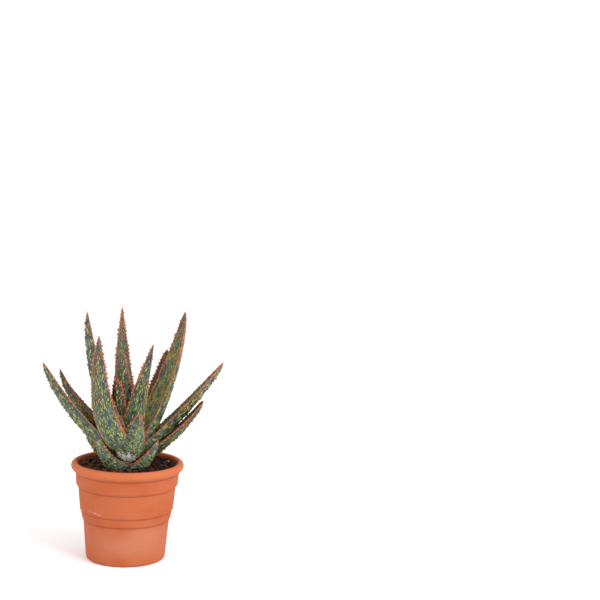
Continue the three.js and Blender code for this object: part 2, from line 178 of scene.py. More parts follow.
def make_piece(
    name: str, points: Array, faces: list[list[int]], masks: Mapping[str, Array]
) -> bpy.types.Object:
    """Makes a smooth mesh object from points in millimetres.

    Args:
        name: The piece's name.
        points: One row of x, y, z for each point.
        faces: Corner numbers of each face.
        masks: Named numbers, one for each point, that the materials read.

    Returns:
        The new object, at the origin.
    """
    mesh = bpy.data.meshes.new(name)
    mesh.from_pydata((np.asarray(points) * MM).tolist(), [], faces)
    mesh.validate()
    for key, values in masks.items():
        layer = mesh.attributes.new(key, "FLOAT", "POINT")
        layer.data.foreach_set("value", np.ascontiguousarray(values, dtype=np.float32))
    mesh.polygons.foreach_set("use_smooth", np.ones(len(mesh.polygons), dtype=bool))
    mesh.update()
    piece = bpy.data.objects.new(name, mesh)
    bpy.context.scene.collection.objects.link(piece)
    return piece


def settle(piece: bpy.types.Object, node: str) -> None:
    """Sets a piece in the frame and reports it.

    Args:
        piece: The finished piece.
        node: The CAD node that it stands for.
    """
    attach(piece, "root")
    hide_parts(node)
    LOG.info("%s: %d faces", piece.name, len(piece.data.polygons))


@dataclass(frozen=True)
class Rise:
    """A soft rise of a mask or a noise: where it starts, where it is full, and how much it then counts."""

    start: float
    full: float
    share: float = 1.0


@dataclass(frozen=True)
class Grain:
    """Cloudy noise in the material: waves in a metre, finer layers, and how it rises."""

    scale: float
    detail: float
    rise: Rise


@dataclass(frozen=True)
class Streaks:
    """Noise drawn out on a leaf: waves in a millimetre along and across, finer layers, and how it rises."""

    along: float
    across: float
    detail: float
    rise: Rise


class Wire:
    """A shader value or colour that can be used in Python expressions."""

    def __init__(self, desk: "Desk", socket: bpy.types.NodeSocket) -> None:
        """Keeps the socket and the desk that new nodes are made on."""
        self.desk = desk
        self.socket = socket

    def _math(self, operation: str, *values: "Value") -> "Wire":
        """One Math node on the given values."""
        return self.desk.node("ShaderNodeMath", {"operation": operation}, dict(enumerate(values)))

    def __add__(self, other: "Value") -> "Wire":
        """The sum."""
        return self._math("ADD", self, other)

    def __sub__(self, other: "Value") -> "Wire":
        """The difference."""
        return self._math("SUBTRACT", self, other)

    def __rsub__(self, other: "Value") -> "Wire":
        """The difference from a number on the left."""
        return self._math("SUBTRACT", other, self)

    def __mul__(self, other: "Value") -> "Wire":
        """The product."""
        return self._math("MULTIPLY", self, other)

    __radd__ = __add__
    __rmul__ = __mul__

    def rise(self, rise: Rise) -> "Wire":
        """A soft step from 0, where the value is at the rise's start, to the rise's share."""
        values = {"Value": self, "From Min": rise.start, "From Max": rise.full, "To Max": rise.share}
        return self.desk.node("ShaderNodeMapRange", {"interpolation_type": "SMOOTHSTEP"}, values)

    def ragged(self, noise: "Wire", share: float) -> "Wire":
        """The value made uneven by a share of a noise."""
        return self + (noise - NOISE_MIDDLE) * share


Value = Union[Wire, float, int, tuple, list]


class Desk:
    """Builds the node tree of one material."""

    def __init__(self, name: str, specular: float) -> None:
        """Makes a material with a Principled shader.

        Args:
            name: The material's name.
            specular: Specular level, the same all over.
        """
        self.material = bpy.data.materials.new(name)
        self.material.use_nodes = True
        self.tree = self.material.node_tree
        self.shader = self.tree.nodes["Principled BSDF"]
        self.shader.inputs["Specular IOR Level"].default_value = specular

    def node(
        self, kind: str, settings: Mapping[str, Any], values: Mapping[Any, Value], output: Any = 0
    ) -> Wire:
        """Adds one node.

        Args:
            kind: The node's type.
            settings: Attributes of the node, set first; stops are those of a colour ramp.
            values: Values or links of its sockets, by name or number.
            output: Name or number of the socket to go on from.

        Returns:
            The chosen output.
        """
        made = self.tree.nodes.new(kind)
        for key, value in settings.items():
            if key == "stops":
                self.set_stops(made.color_ramp.elements, value)
            else:
                setattr(made, key, value)
        for key, value in values.items():
            self.feed(made.inputs[key], value)
        return Wire(self, made.outputs[output])

    @staticmethod
    def set_stops(band: bpy.types.ColorRampElements, stops: Sequence[tuple[float, Colour]]) -> None:
        """Gives a colour ramp its places from 0 to 1 and their colours."""
        while len(band) < len(stops):
            band.new(1.0)
        for element, (where, colour) in zip(band, stops):
            element.position = where
            element.color = (*colour, 1.0)

    def feed(self, socket: bpy.types.NodeSocket, value: Value) -> None:
        """Links or sets one input socket."""
        if isinstance(value, Wire):
            self.tree.links.new(value.socket, socket)
        elif isinstance(value, (tuple, list)) and socket.type == "RGBA":
            socket.default_value = (*value, 1.0)
        else:
            socket.default_value = value

    def mask(self, name: str) -> Wire:
        """A named number of the mesh's points."""
        return self.node("ShaderNodeAttribute", {"attribute_name": name}, {}, "Fac")

    def place(self) -> Wire:
        """The point's position in the object, in metres."""
        return self.node("ShaderNodeTexCoord", {}, {}, "Object")

    def stretched(self, scale: tuple[float, float, float]) -> Wire:
        """The point's position with each axis scaled."""
        return self.node("ShaderNodeVectorMath", {"operation": "MULTIPLY"}, {0: self.place(), 1: scale})

    def on_leaf(self, along: float, across: float) -> Wire:
        """The point's place on the leaf's skin in millimetres, with each way scaled."""
        values = {"X": self.mask("run") * along, "Y": self.mask("reach") * across}
        return self.node("ShaderNodeCombineXYZ", {}, values)

    def noise(
        self, scale: float, detail: float, where: Optional[Wire] = None, rough: float = 0.5
    ) -> Wire:
        """Cloudy noise round its middle.

        Args:
            scale: Waves in a metre, or in a unit of the position that is given.
            detail: Number of finer layers.
            where: Position to read it at, or None for the point's own.
            rough: Strength of the finer layers.

        Returns:
            The noise value.
        """
        values = {"Vector": where or self.place(), "Scale": scale, "Detail": detail, "Roughness": rough}
        return self.node("ShaderNodeTexNoise", {}, values, "Fac")

    def spots(self, grain: Grain) -> Wire:
        """Noise that shows as spots."""
        return self.noise(grain.scale, grain.detail).rise(grain.rise)

    def streaks(self, streaks: Streaks) -> Wire:
        """Noise that shows as streaks on a leaf."""
        return self.noise(1.0, streaks.detail, self.on_leaf(streaks.along, streaks.across)).rise(streaks.rise)

    def dots(self, scale: float, edge: Rise) -> Wire:
        """Round dots, 1 inside and 0 outside.

        Args:
            scale: Dots in a metre.
            edge: Where a dot's edge starts and ends, as shares of their distance.

        Returns:
            The dots.
        """
        values = {"Vector": self.place(), "Scale": scale}
        return 1 - self.node("ShaderNodeTexVoronoi", {}, values, "Distance").rise(edge)

    def blend(self, first: Value, second: Value, share: Value) -> Wire:
        """The first colour with a share of the second laid over it."""
        values = {MIX_SHARE: share, MIX_FIRST: first, MIX_SECOND: second}
        return self.node("ShaderNodeMix", {"data_type": "RGBA"}, values, MIX_RESULT)

    def finish(self, colour: Wire, roughness: Value, height: Wire, depth: float) -> bpy.types.Material:
        """Links colour, roughness and relief to the shader.

        Args:
            colour: Base colour.
            roughness: Roughness, a number or a value that varies.
            height: Relief from 0 to 1.
            depth: Height of the relief in millimetres.

        Returns:
            The finished material.
        """
        relief = {"Height": height, "Distance": depth * MM, "Strength": 1.0}
        self.feed(self.shader.inputs["Base Color"], colour)
        self.feed(self.shader.inputs["Roughness"], roughness)
        self.feed(self.shader.inputs["Normal"], self.node("ShaderNodeBump", {}, relief, "Normal"))
        return self.material


class Tone(Enum):
    """How a leaf's skin is coloured: grown and young leaves in their own colours by age, and shaded leaves in
    a darker copy of the grown skin, painted shade for leaves that lie in shadow.
    """

    GROWN = "grown"
    SHADED = "shaded"
    YOUNG = "young"


@dataclass(frozen=True)
class LeafSkin:
    """Finish of one kind of leaf: skin, warts from green to coral, a coral margin and a dry husk, with
    painted shade round the warts and painted highlights on the warts and the margin.
    """

    deep: Colour
    pale: Colour
    leafy: Colour
    wart: Colour
    gold: Colour
    coral: Colour
    green: Colour
    # Painted highlight: pale pink flecks on the coral margin.
    margin_highlight: Colour = tint(214, 128, 104)
    # Painted highlight colour for the crowns of the warts.
    highlight_tint: Colour = tint(192, 192, 122)
    ash: Colour = tint(158, 164, 122)
    olive: Colour = tint(134, 126, 44)
    # Painted shade colour, for the crevices round the warts and the pits.
    dark: Colour = tint(22, 30, 26)
    dry: Colour = tint(226, 226, 218)
    specular: float = 0.4
    grain_scale: float = 800
    grain_detail: float = 3

    # Skin between the marks.
    patch_scale: float = 170
    patch_near: float = 0.1
    patch_tip: float = 0.08
    patch: Rise = Rise(0.36, 0.66)
    green_spots: Grain = Grain(70, 1, Rise(0.52, 0.72, 0.35))
    green_root: Rise = Rise(0.14, 0.0, 0.5)
    green_inner: float = 0.2
    blotches: Streaks = Streaks(0.1, 0.16, 3, Rise(0.49, 0.55, 0.9))
    # Painted shade: a dark ring round each wart, as shade in the crevice at its foot, and small dark pits.
    crevice_shade_outside: Rise = Rise(0.02, 0.2, 0.5)
    crevice_shade_inside: Rise = Rise(0.25, 0.45, 0.5)
    pit_shade: Rise = Rise(0.54, 0.74, 0.3)

    # Warts and streaks. Each stop is a place among the hues.
    hue_waves: float = 0.3
    hue_scatter: float = 0.5
    stops: tuple[float, ...] = (0.0, 0.2, 0.44, 0.58, 0.76, 0.9)
    green_flecks: Grain = Grain(620, 3, Rise(0.5, 0.7, 0.5))
    # Painted highlights: pale spots on the crowns of the warts, stronger near the root.
    wart_highlight: Rise = Rise(0.5, 0.9)
    wart_highlight_spots: Grain = Grain(900, 2, Rise(0.48, 0.62))
    wart_highlight_share: Span = (0.5, 0.3)
    rows: Streaks = Streaks(0.56, 0.15, 2, Rise(0.54, 0.58))
    dashes: Streaks = Streaks(0.19, 0.6, 2, Rise(0.54, 0.63))
    ash_near: float = 0.45
    streak_share: Span = (0.3, 0.55)
    wart_ragged: float = 0.6
    wart_edge: Rise = Rise(0.32, 0.48)

    # Margin, tip and husk.
    pale_flecks: Rise = Rise(0.5, 0.7, 0.5)
    beads: Streaks = Streaks(0.22, 0.05, 2, Rise(0.48, 0.56, 0.7))
    margin_root: Rise = Rise(0.16, 0.03, 0.8)
    margin_ragged: float = 0.5
    margin_edge: Rise = Rise(0.36, 0.6)
    tip: Rise = Rise(0.96, 0.99, 0.8)
    torn_waves: Span = (0.34, 0.2)
    torn_detail: float = 4
    torn_rough: float = 0.72
    husk_grows: float = 0.26
    husk_start: float = 0.24
    husk_edge: Rise = Rise(0.42, 0.46)
    husk_fade: Rise = Rise(0.02, 0.2)
    husk_share: float = 0.95

    # Roughness, and the weights of grain, warts and husk in it.
    roughness: float = 0.44
    rough_weights: tuple[float, float, float] = (0.16, 0.06, 0.2)

    # Relief: its fine noise, its depth, and the weights of that noise, grain, streaks and husk.
    fine_scale: float = 1400
    relief_depth: float = 0.3
    relief_weights: tuple[float, float, float, float] = (0.3, 0.3, 0.4, 0.5)

    def material(self, name: str) -> bpy.types.Material:
        """Lays skin, streaks, warts, margin and husk over each other.

        Args:
            name: The material's name.

        Returns:
            The material.
        """
        desk = Desk(name, self.specular)
        near = desk.mask("near")
        grain = desk.noise(self.grain_scale, self.grain_detail)
        streak = desk.streaks(self.rows) * near + desk.streaks(self.dashes) * (1 - near)
        marks = self.mark_colour(desk, near)
        faint = desk.blend(marks, self.ash, near * self.ash_near)
        shows = streak * (self.streak_share[0] + near * self.streak_share[1])
        body = desk.blend(self.skin_colour(desk, grain, near), faint, shows)
        cover = desk.mask("wart").ragged(grain, self.wart_ragged).rise(self.wart_edge)
        body = self.edged(desk, grain, desk.blend(body, marks, cover))
        husk = self.husk_cover(desk)
        papery = desk.blend(self.dry, self.ash, grain.rise(self.pale_flecks))
        body = desk.blend(body, papery, husk * self.husk_share)
        by_grain, by_wart, by_husk = self.rough_weights
        rough = self.roughness + grain * by_grain + cover * by_wart + husk * by_husk
        fine = desk.noise(self.fine_scale, self.grain_detail)
        parts = zip((fine, grain, streak, husk), self.relief_weights)
        relief = sum(part * weight for part, weight in parts)
        return desk.finish(body, rough, relief, self.relief_depth)

    def skin_colour(self, desk: Desk, grain: Wire, near: Wire) -> Wire:
        """Colour of the skin between the marks, with painted shade: a dark ring round each wart and dark
        pits.

        Args:
            desk: The material's desk.
            grain: Its grain.
            near: How near the root a point is.

        Returns:
            The colour.
        """
        along, wart = desk.mask("along"), desk.mask("wart")
        patch = desk.noise(self.patch_scale, self.grain_detail)
        patch = patch + near * self.patch_near - along * self.patch_tip
        skin = desk.blend(self.deep, self.pale, patch.rise(self.patch))
        greener = desk.spots(self.green_spots) + along.rise(self.green_root)
        skin = desk.blend(skin, self.green, greener + desk.mask("inner") * self.green_inner)
        skin = desk.blend(skin, self.olive, desk.streaks(self.blotches) * desk.mask("tanned"))
        # Painted shade in the crevices round the warts and in the pits.
        ring = wart.rise(self.crevice_shade_outside) - wart.rise(self.crevice_shade_inside)
        return desk.blend(skin, self.dark, ring + grain.rise(self.pit_shade))

    def mark_colour(self, desk: Desk, near: Wire) -> Wire:
        """Colour of the warts: by hue from green to coral, with painted highlights on their crowns.

        Args:
            desk: The material's desk.
            near: How near the root a point is.

        Returns:
            The colour.
        """
        scatter = desk.noise(1.0, 1, desk.on_leaf(self.hue_waves, self.hue_waves))
        choice = desk.mask("hue").ragged(scatter, self.hue_scatter)
        colours = (self.leafy, self.wart, self.wart, self.gold, self.gold, self.coral)
        stops = list(zip(self.stops, colours))
        marks = desk.node("ShaderNodeValToRGB", {"stops": stops}, {"Fac": choice}, "Color")
        marks = desk.blend(marks, self.green, desk.spots(self.green_flecks))
        wart_highlight = desk.mask("wart").rise(self.wart_highlight) * desk.spots(self.wart_highlight_spots)
        return desk.blend(marks, self.highlight_tint, wart_highlight * (self.wart_highlight_share[0] + near * self.wart_highlight_share[1]))

    def edged(self, desk: Desk, grain: Wire, body: Wire) -> Wire:
        """The leaf's colour with its margin, its pale pink flecks of painted highlight, and its coral tip.

        Args:
            desk: The material's desk.
            grain: Its grain.
            body: The colour so far.

        Returns:
            The colour.
        """
        along = desk.mask("along")
        # Pale pink flecks of painted highlight on the margin.
        margin = desk.blend(self.coral, self.margin_highlight, grain.rise(self.pale_flecks))
        margin = desk.blend(margin, self.gold, desk.streaks(self.beads))
        margin = desk.blend(margin, self.green, along.rise(self.margin_root))
        crest = desk.mask("crest").ragged(grain, self.margin_ragged)
        body = desk.blend(body, margin, crest.rise(self.margin_edge))
        return desk.blend(body, self.coral, along.rise(self.tip))

    def husk_cover(self, desk: Desk) -> Wire:
        """Where the dry torn husk covers the skin."""
        husk = desk.mask("husk")
        torn = desk.noise(1.0, self.torn_detail, desk.on_leaf(*self.torn_waves), self.torn_rough)
        grown = torn + husk * self.husk_grows - self.husk_start
        return grown.rise(self.husk_edge) * husk.rise(self.husk_fade)


LEAF_SKINS = {
    Tone.GROWN: LeafSkin(
        deep=tint(46, 62, 63), pale=tint(82, 100, 99), leafy=tint(112, 126, 64), wart=tint(150, 156, 76),
        gold=tint(150, 108, 46), coral=tint(190, 84, 66), green=tint(70, 86, 44)),
    # Painted shade: the grown skin in darker, duller colours, for leaves that lie in shadow.
    Tone.SHADED: LeafSkin(
        deep=tint(34, 42, 30), pale=tint(58, 66, 46), leafy=tint(88, 96, 42), wart=tint(118, 118, 52),
        gold=tint(132, 88, 38), coral=tint(184, 76, 56), green=tint(56, 66, 26)),
    Tone.YOUNG: LeafSkin(
        deep=tint(84, 104, 46), pale=tint(112, 130, 60), leafy=tint(128, 142, 66), wart=tint(150, 160, 78),
        gold=tint(148, 130, 58), coral=tint(186, 94, 68), green=tint(92, 114, 42)),
}


@dataclass(frozen=True)
class LeafSize:
    """Form of one leaf.

    The first eleven values are those of the same leaf in CAD. Fine is the spacing of the skin's points.
    Flare and wrap shape a root that clasps the rest, and husk is how much dry husk lies on it. Tanned is how
    far its upper face is blotched, and rows_to the share of its length up to which marks run in cross rows.
    """

    name: str
    azimuth: float
    height: float
    root: float
    length: float
    lift: float
    rise: float
    sweep: float
    width: float
    thick: float
    taper: float
    tone: Tone = Tone.GROWN
    fine: float = 0.7
    flare: float = 0.0
    wrap: float = 13.0
    husk: float = 0.0
    tanned: float = 0.25
    rows_to: float = 0.5


@dataclass(frozen=True)
class WartRule:
    """How warts are set on a leaf.

    Of two numbers, the first holds in the outer part, and the second is added to it near the root. There
    the warts form wavy rows across the leaf, and further out they are dashes along it.
    """

    pitch_along: Span = (4.3, -1.9)
    pitch_across: Span = (1.75, 1.65)
    long: Span = (2.1, -1.4)
    wide: Span = (0.58, 0.85)
    density: Span = (0.72, 0.16)
    clumps: Hills = Hills(0.34, 8.0, 31)
    row_wave: float = 0.55
    row_turn: float = 0.42
    row_wander: Hills = Hills(0.5, 9.0, 0)
    drift: Hills = Hills(0.5, 7.0, 4)
    shake: Hills = Hills(0.4, 1.9, 8)
    shake_share: Span = (0.5, 0.6)
    middle: Span = (0.25, 0.5)
    stagger: float = 0.5
    scatter: Span = (0.5, 0.6)
    least: float = 0.55
    spread: float = 0.75
    steep: float = 1.3
    upper_share: float = 0.75
    seed_step: float = 3.1

    @staticmethod
    def at(pair: Span, near: Array) -> Array:
        """A pair's value where near says how near the root a point is."""
        return pair[0] + pair[1] * near


@dataclass(frozen=True)
class HueRule:
    """What moves a wart's hue from green towards coral: shares, and the places where they rise."""

    start: float = -0.08
    scatter: float = 0.62
    tip: float = 0.3
    tip_over: Span = (0.3, 0.95)
    margin: float = 0.25
    margin_over: Span = (0.7, 0.98)
    tanned: float = 0.45
    keel: float = 0.3
    keel_wide: Span = (0.4, 1.6)
    keel_over: Span = (0.4, 0.6)
    upper: float = 0.17
    upper_over: Span = (0.1, 0.4)


@dataclass(frozen=True)
class SkinGrid:
    """Places of a leaf's skin points, in rings round the section from root to tip.

    T is the share of the length, x the place across from -1 to 1, and back is 1 on the back and 0 on the
    upper face. Out is the share of a tooth's height, and drop how far the point lies below the margin.
    """

    rings: int
    count: int
    t: Array
    x: Array
    back: Array
    out: Array
    drop: Array


@dataclass
class Leaf:
    """One thick leaf with a toothed margin and warts."""

    size: LeafSize
    number: int
    warts: WartRule = WartRule()
    hues: HueRule = HueRule()
    spine_steps: int = 96

    # Spacing of the points.
    across_share: float = 0.72
    flare_share: float = 0.5
    least_across: int = 12
    back_share: float = 1.2
    tip_crowding: float = 1.25
    last_ring: float = 0.9985

    # Outline, thickness and bend.
    outline_power: float = 1.7
    flare_over: float = 0.45
    bulk_power: float = 2.4
    bulk_end: float = 0.6
    bulk_root: float = 0.7
    bulk_root_over: float = 0.15
    keel_power: Span = (2, -0.8)
    blade_wrap: float = 26.0
    wrap_over: float = 0.25
    wave: Hills = Hills(0.05, 11.0, 20)
    wave_apart: float = 50.0

    # Teeth: heights, pitch, form and fade, and the points that round the margin off, each out and down.
    tooth_base: float = 0.2
    tooth_low: float = 0.6
    tooth_high: float = 2.5
    tooth_pitch: Span = (2.5, 5.0)
    tooth_lean: float = 1.25
    tooth_blunt: float = 0.9
    tooth_fade: Span = (0.12, 0.05)
    tooth_seeds: Span = (5.3, 9)
    crest_rows: tuple[Span, ...] = ((0.45, -0.5), (0.95, -0.3), (1.0, 0.2), (0.5, 0.5))
    crest_width: float = 0.35
    knob_share: float = 0.65
    knob_over: Span = (0.35, 1.2)

    # Relief.
    wart_height: float = 0.85
    wart_fade: float = 0.05
    keel_height: float = 0.6
    keel_width: float = 1.1
    keel_over: Span = (0.15, 0.4)
    slim_under: float = 4.0
    rows_start: Span = (0.6, 0.2)

    # Masks that the finish reads.
    run_apart: float = 400.0
    tan_over: Span = (0.6, 0.9)
    husk_over: Span = (0.12, 0.34)
    husk_across: Span = (-2, 15)

    def spine(self, t: Array) -> tuple[Array, Array, Array]:
        """The middle line.

        Args:
            t: Places along the leaf, from 0 at the root to 1 at the tip.

        Returns:
            Points, and the directions across and up, for each place.
        """
        size = self.size
        u = np.arange(self.spine_steps + 1) / self.spine_steps
        turn = np.radians(size.azimuth + size.sweep * u)
        lift = np.radians(size.lift + size.rise * u)
        along = np.stack([np.cos(lift) * np.cos(turn), np.cos(lift) * np.sin(turn), np.sin(lift)], axis=1)
        start = np.radians(size.azimuth)
        first = [size.root * np.cos(start) + POT_AXIS[0], size.root * np.sin(start) + POT_AXIS[1],
                 size.height + SOIL_LEVEL]
        points = np.vstack([first, first + np.cumsum(along[:-1], axis=0) * size.length / self.spine_steps])
        across = np.stack([-np.sin(turn), np.cos(turn), 0 * turn], axis=1)
        up = np.stack([-np.sin(lift) * np.cos(turn), -np.sin(lift) * np.sin(turn), np.cos(lift)], axis=1)
        pick = [
            np.stack([np.interp(t, u, part[:, k]) for k in range(3)], axis=1)
            for part in (points, across, up)
        ]
        return pick[0], pick[1], pick[2]

    def half_width(self, t: Array) -> Array:
        """Half the leaf's width along its skin."""
        flare = 1 + self.size.flare * (1 - smooth(t, 0.0, self.flare_over))
        return self.size.width / 2 * (1 - t ** self.outline_power) ** self.size.taper * flare

    def thickness(self, t: Array) -> Array:
        """Thickness in the middle."""
        from_root = self.bulk_root + (1 - self.bulk_root) * np.minimum(1, t / self.bulk_root_over)
        return self.size.thick * (1 - t ** self.bulk_power) ** self.bulk_end * from_root

    def bend(self, t: Array) -> Array:
        """Radius that the section is bent to."""
        wrap = self.size.wrap
        return wrap + (self.blade_wrap - wrap) * smooth(t, 0, self.wrap_over)

    def near_root(self, t: Array) -> Array:
        """How far the marks run in rows across the leaf, from 1 at the root to 0."""
        share, shift = self.rows_start
        return 1 - smooth(t, share * self.size.rows_to - shift, self.size.rows_to)

    def teeth(self, s: Array, side: float) -> Array:
        """Height of the margin's blunt teeth.

        Args:
            s: Distances along the leaf.
            side: 1 or -1 for the two margins, and any other number for the beads of the keel.

        Returns:
            The height in millimetres at each distance.
        """
        low, high = self.tooth_pitch
        by_leaf, by_height = self.tooth_seeds
        count = int(self.size.length / low) + 3
        seed = self.number * by_leaf + side
        steps = low + (high - low) * chance(np.arange(count), seed=seed)
        starts = np.concatenate([[0], np.cumsum(steps)])
        cell = np.clip(np.searchsorted(starts, s, side="right") - 1, 0, count - 1)
        phase = (s - starts[cell]) / steps[cell]
        tall = self.tooth_low + (self.tooth_high - self.tooth_low) * chance(cell, seed=seed + by_height)
        hump = np.sin(np.pi * np.clip(phase, 0, 1) ** self.tooth_lean) ** self.tooth_blunt
        t = s / self.size.length
        at_root, at_tip = self.tooth_fade
        fade = np.minimum(1, t / at_root) * np.minimum(1, (1 - t) / at_tip)
        return (self.tooth_base + tall * hump) * np.clip(fade, 0, 1)

    def set_warts(self, s: Array, q: Array, t: Array, back: Array) -> tuple[Array, Array]:
        """Sets the warts over the skin.

        Args:
            s: Distances along the leaf.
            q: Distances across it from the middle.
            t: Shares of the length.
            back: 1 on the back and 0 on the upper face.

        Returns:
            The height of the wart from 0 to 1, and a number from 0 to 1 that chooses its hue.
        """
        rule, near = self.warts, self.near_root(t)
        pitch_s, pitch_q = rule.at(rule.pitch_along, near), rule.at(rule.pitch_across, near)
        wave = rule.row_wave * np.sin(q * rule.row_turn + self.number) + rule.row_wander.at(s, q, self.number)
        shake = rule.shake.at(s, q, self.number)
        u = s / pitch_s + wave * near + shake * rule.shake_share[0]
        v = q / pitch_q + rule.drift.at(s, q, self.number) + shake * rule.shake_share[1]
        thick_set = rule.density[0] + rule.clumps.at(s, q, self.number) + rule.density[1] * near
        best, hue = np.zeros_like(u), np.zeros_like(u)
        row, column = np.floor(u), np.floor(v)
        seed = self.number * rule.seed_step
        for i, j in ((row + di, column + dj) for di in (-1, 0, 1) for dj in (-1, 0, 1)):
            draw = [chance(i, j, seed=seed + n) for n in range(5)]
            stagger = rule.stagger * (j % 2) * (1 - near)
            du = (u - i - rule.middle[0] - stagger - rule.scatter[0] * (draw[0] - 0.5)) * pitch_s
            dv = (v - j - rule.middle[1] - rule.scatter[1] * (draw[1] - 0.5)) * pitch_q
            size = rule.least + rule.spread * draw[2]
            long_s, long_q = rule.at(rule.long, near) * size, rule.at(rule.wide, near) * size
            dome = np.clip(rule.steep * (1 - (du / long_s) ** 2 - (dv / long_q) ** 2), 0, 1)
            height = dome * (draw[3] < thick_set)
            better = height > best
            best = np.where(better, height, best)
            hue = np.where(better, draw[4], hue)
        return best * (rule.upper_share + (1 - rule.upper_share) * back), hue

    def grid(self) -> SkinGrid:
        """Spreads the points of the skin.

        Returns:
            Rings that crowd towards the tip. Each runs round the upper face, a margin, the back and the
            other margin.
        """
        size = self.size
        rings = int(size.length / size.fine)
        t = 1 - (1 - np.linspace(0, self.last_ring, rings)) ** self.tip_crowding
        spacing = size.fine * self.across_share
        upper_count = max(self.least_across, int(size.width * (1 + size.flare * self.flare_share) / spacing))
        back_count = int(upper_count * self.back_share)
        upper = np.linspace(-1, 1, upper_count + 2)[1:-1]
        back = np.linspace(1, -1, back_count + 2)[1:-1]
        none_upper, none_back = np.zeros(upper_count), np.zeros(back_count)
        crest = np.array(self.crest_rows)
        edge = len(crest)
        x = np.concatenate([upper, np.ones(edge), back, -np.ones(edge)])
        is_back = [none_upper, np.linspace(0, 1, edge), np.ones(back_count), np.linspace(1, 0, edge)]
        out = [none_upper, crest[:, 0], none_back, crest[::-1, 0]]
        drop = [none_upper, crest[:, 1], none_back, crest[::-1, 1]]
        section = (x, *(np.concatenate(part) for part in (is_back, out, drop)))
        return SkinGrid(rings, len(x), np.repeat(t, len(x)), *(np.tile(part, rings) for part in section))

    def build(self) -> bpy.types.Object:
        """Makes the leaf's mesh.

        Returns:
            The leaf as an object.
        """
        grid = self.grid()
        s, side, on_back = grid.t * self.size.length, np.sign(grid.x), np.round(grid.back)
        uneven = 1 + self.wave.at(s, side * self.wave_apart, self.number)
        half, bend, deep = self.half_width(grid.t) * uneven, self.bend(grid.t), self.thickness(grid.t)
        tall = np.where(side > 0, self.teeth(s, 1.0), self.teeth(s, -1.0))
        slim = np.minimum(1, half / self.slim_under)
        share = 1 - np.abs(grid.x) ** (self.keel_power[0] + self.keel_power[1] * grid.t)
        down = deep * share * on_back + grid.drop * slim
        q = grid.x * half * (1 + grid.back * deep / bend)
        raised, hue = self.set_warts(s, q, grid.t, grid.back)
        fade = np.minimum(1, grid.t / self.wart_fade) * np.minimum(1, (1 - grid.t) / self.wart_fade)
        raised = raised * fade
        near_edge = smooth(np.abs(grid.x), 1 - self.crest_width / half.clip(1), 1.0)
        crest = np.clip((grid.out > 0).astype(float) + near_edge, 0, 1)
        knob = crest * (1 - self.knob_share + self.knob_share * smooth(tall, *self.knob_over))
        on_keel = bell(q, 0, self.keel_width) * on_back * smooth(grid.t, *self.keel_over) * (1 - crest)
        lift = self.wart_height * raised * (1 - crest) * slim
        lift = lift + self.keel_height * self.teeth(s, 0.5) * on_keel * slim
        down = down + np.where(on_back > 0, lift, -lift)
        points = self.placed(grid, grid.x * half / bend, bend, grid.out * tall, down)
        masks = self.masks(grid, s, q, raised, knob, self.hue(grid, q, hue))
        return make_piece(self.size.name + "_skin", points, self.faces(grid), masks)

    def placed(self, grid: SkinGrid, angle: Array, bend: Array, out: Array, down: Array) -> Array:
        """Points of the skin in the part's frame, and after them the middle of the root and the tip.

        Args:
            grid: The skin's grid.
            angle: Where each point lies on the bent section, in radians.
            bend: Radius of the section there.
            out: How far it lies beyond the margin.
            down: How far it lies below the upper face.

        Returns:
            Rows of x, y, z.
        """
        sideways = bend * np.sin(angle) + out * np.sign(grid.x) * np.cos(angle) + down * np.sin(angle)
        upward = bend * (1 - np.cos(angle)) + out * np.sin(np.abs(angle)) - down * np.cos(angle)
        here, across, up = self.spine(grid.t)
        points = here + across * sideways[:, None] + up * upward[:, None]
        return np.vstack([points, self.spine(np.array([0.0, 1.0]))[0]])

    @staticmethod
    def faces(grid: SkinGrid) -> list[list[int]]:
        """Quads between the rings, and fans that close the root and the tip."""
        faces = ring_faces(grid.rings, grid.count)
        root, tip, last = grid.rings * grid.count, grid.rings * grid.count + 1, (grid.rings - 1) * grid.count
        for k in range(grid.count):
            following = (k + 1) % grid.count
            faces.append([root, k, following])
            faces.append([last + k, tip, last + following])
        return faces

    def hue(self, grid: SkinGrid, q: Array, scatter: Array) -> Array:
        """Hue of the marks, from 0 for green to 1 for coral.

        Args:
            grid: The skin's grid.
            q: Distances across the leaf from the middle.
            scatter: A number from 0 to 1 for each wart.

        Returns:
            The hue of each point.
        """
        rule, upper = self.hues, 1 - grid.back
        margin = smooth(np.abs(grid.x), *rule.margin_over)
        keel = (1 - smooth(np.abs(q), *rule.keel_wide)) * grid.back * smooth(grid.t, *rule.keel_over)
        rosy = rule.margin + rule.tanned * self.size.tanned * upper
        hue = rule.start + scatter * rule.scatter + rule.tip * smooth(grid.t, *rule.tip_over)
        hue = hue + rosy * margin + rule.keel * keel + rule.upper * upper * smooth(grid.t, *rule.upper_over)
        return np.clip(hue, 0, 1)

    def masks(
        self, grid: SkinGrid, s: Array, q: Array, raised: Array, knob: Array, hue: Array
    ) -> dict[str, Array]:
        """Numbers that the finish reads, each with its value at the middle of the root and at the tip.

        Args:
            grid: The skin's grid.
            s: Distances along the leaf.
            q: Distances across it from the middle.
            raised: Height of the warts from 0 to 1.
            knob: How much of a point's colour is the margin's.
            hue: Hue of the marks.

        Returns:
            The masks by name.
        """
        size, upper = self.size, 1 - grid.back
        tanned = size.tanned * upper * (1 - smooth(grid.t, *self.tan_over))
        husk = size.husk * (1 - smooth(grid.t, *self.husk_over)) * (1 - smooth(q, *self.husk_across))
        return {
            "wart": np.append(raised, [0, 0]),
            "hue": np.append(hue, [0, 0]),
            "crest": np.append(knob, [0, 1]),
            "along": np.append(grid.t, [0, 1]),
            "inner": np.append(upper, [0, 0]),
            "run": np.append(s, [0, size.length]) + self.run_apart * self.number,
            "reach": np.append(q, [0, 0]),
            "near": np.append(self.near_root(grid.t), [1, 0]),
            "tanned": np.append(tanned, [0, 0]),
            "husk": np.append(husk, [0, 0]),
        }


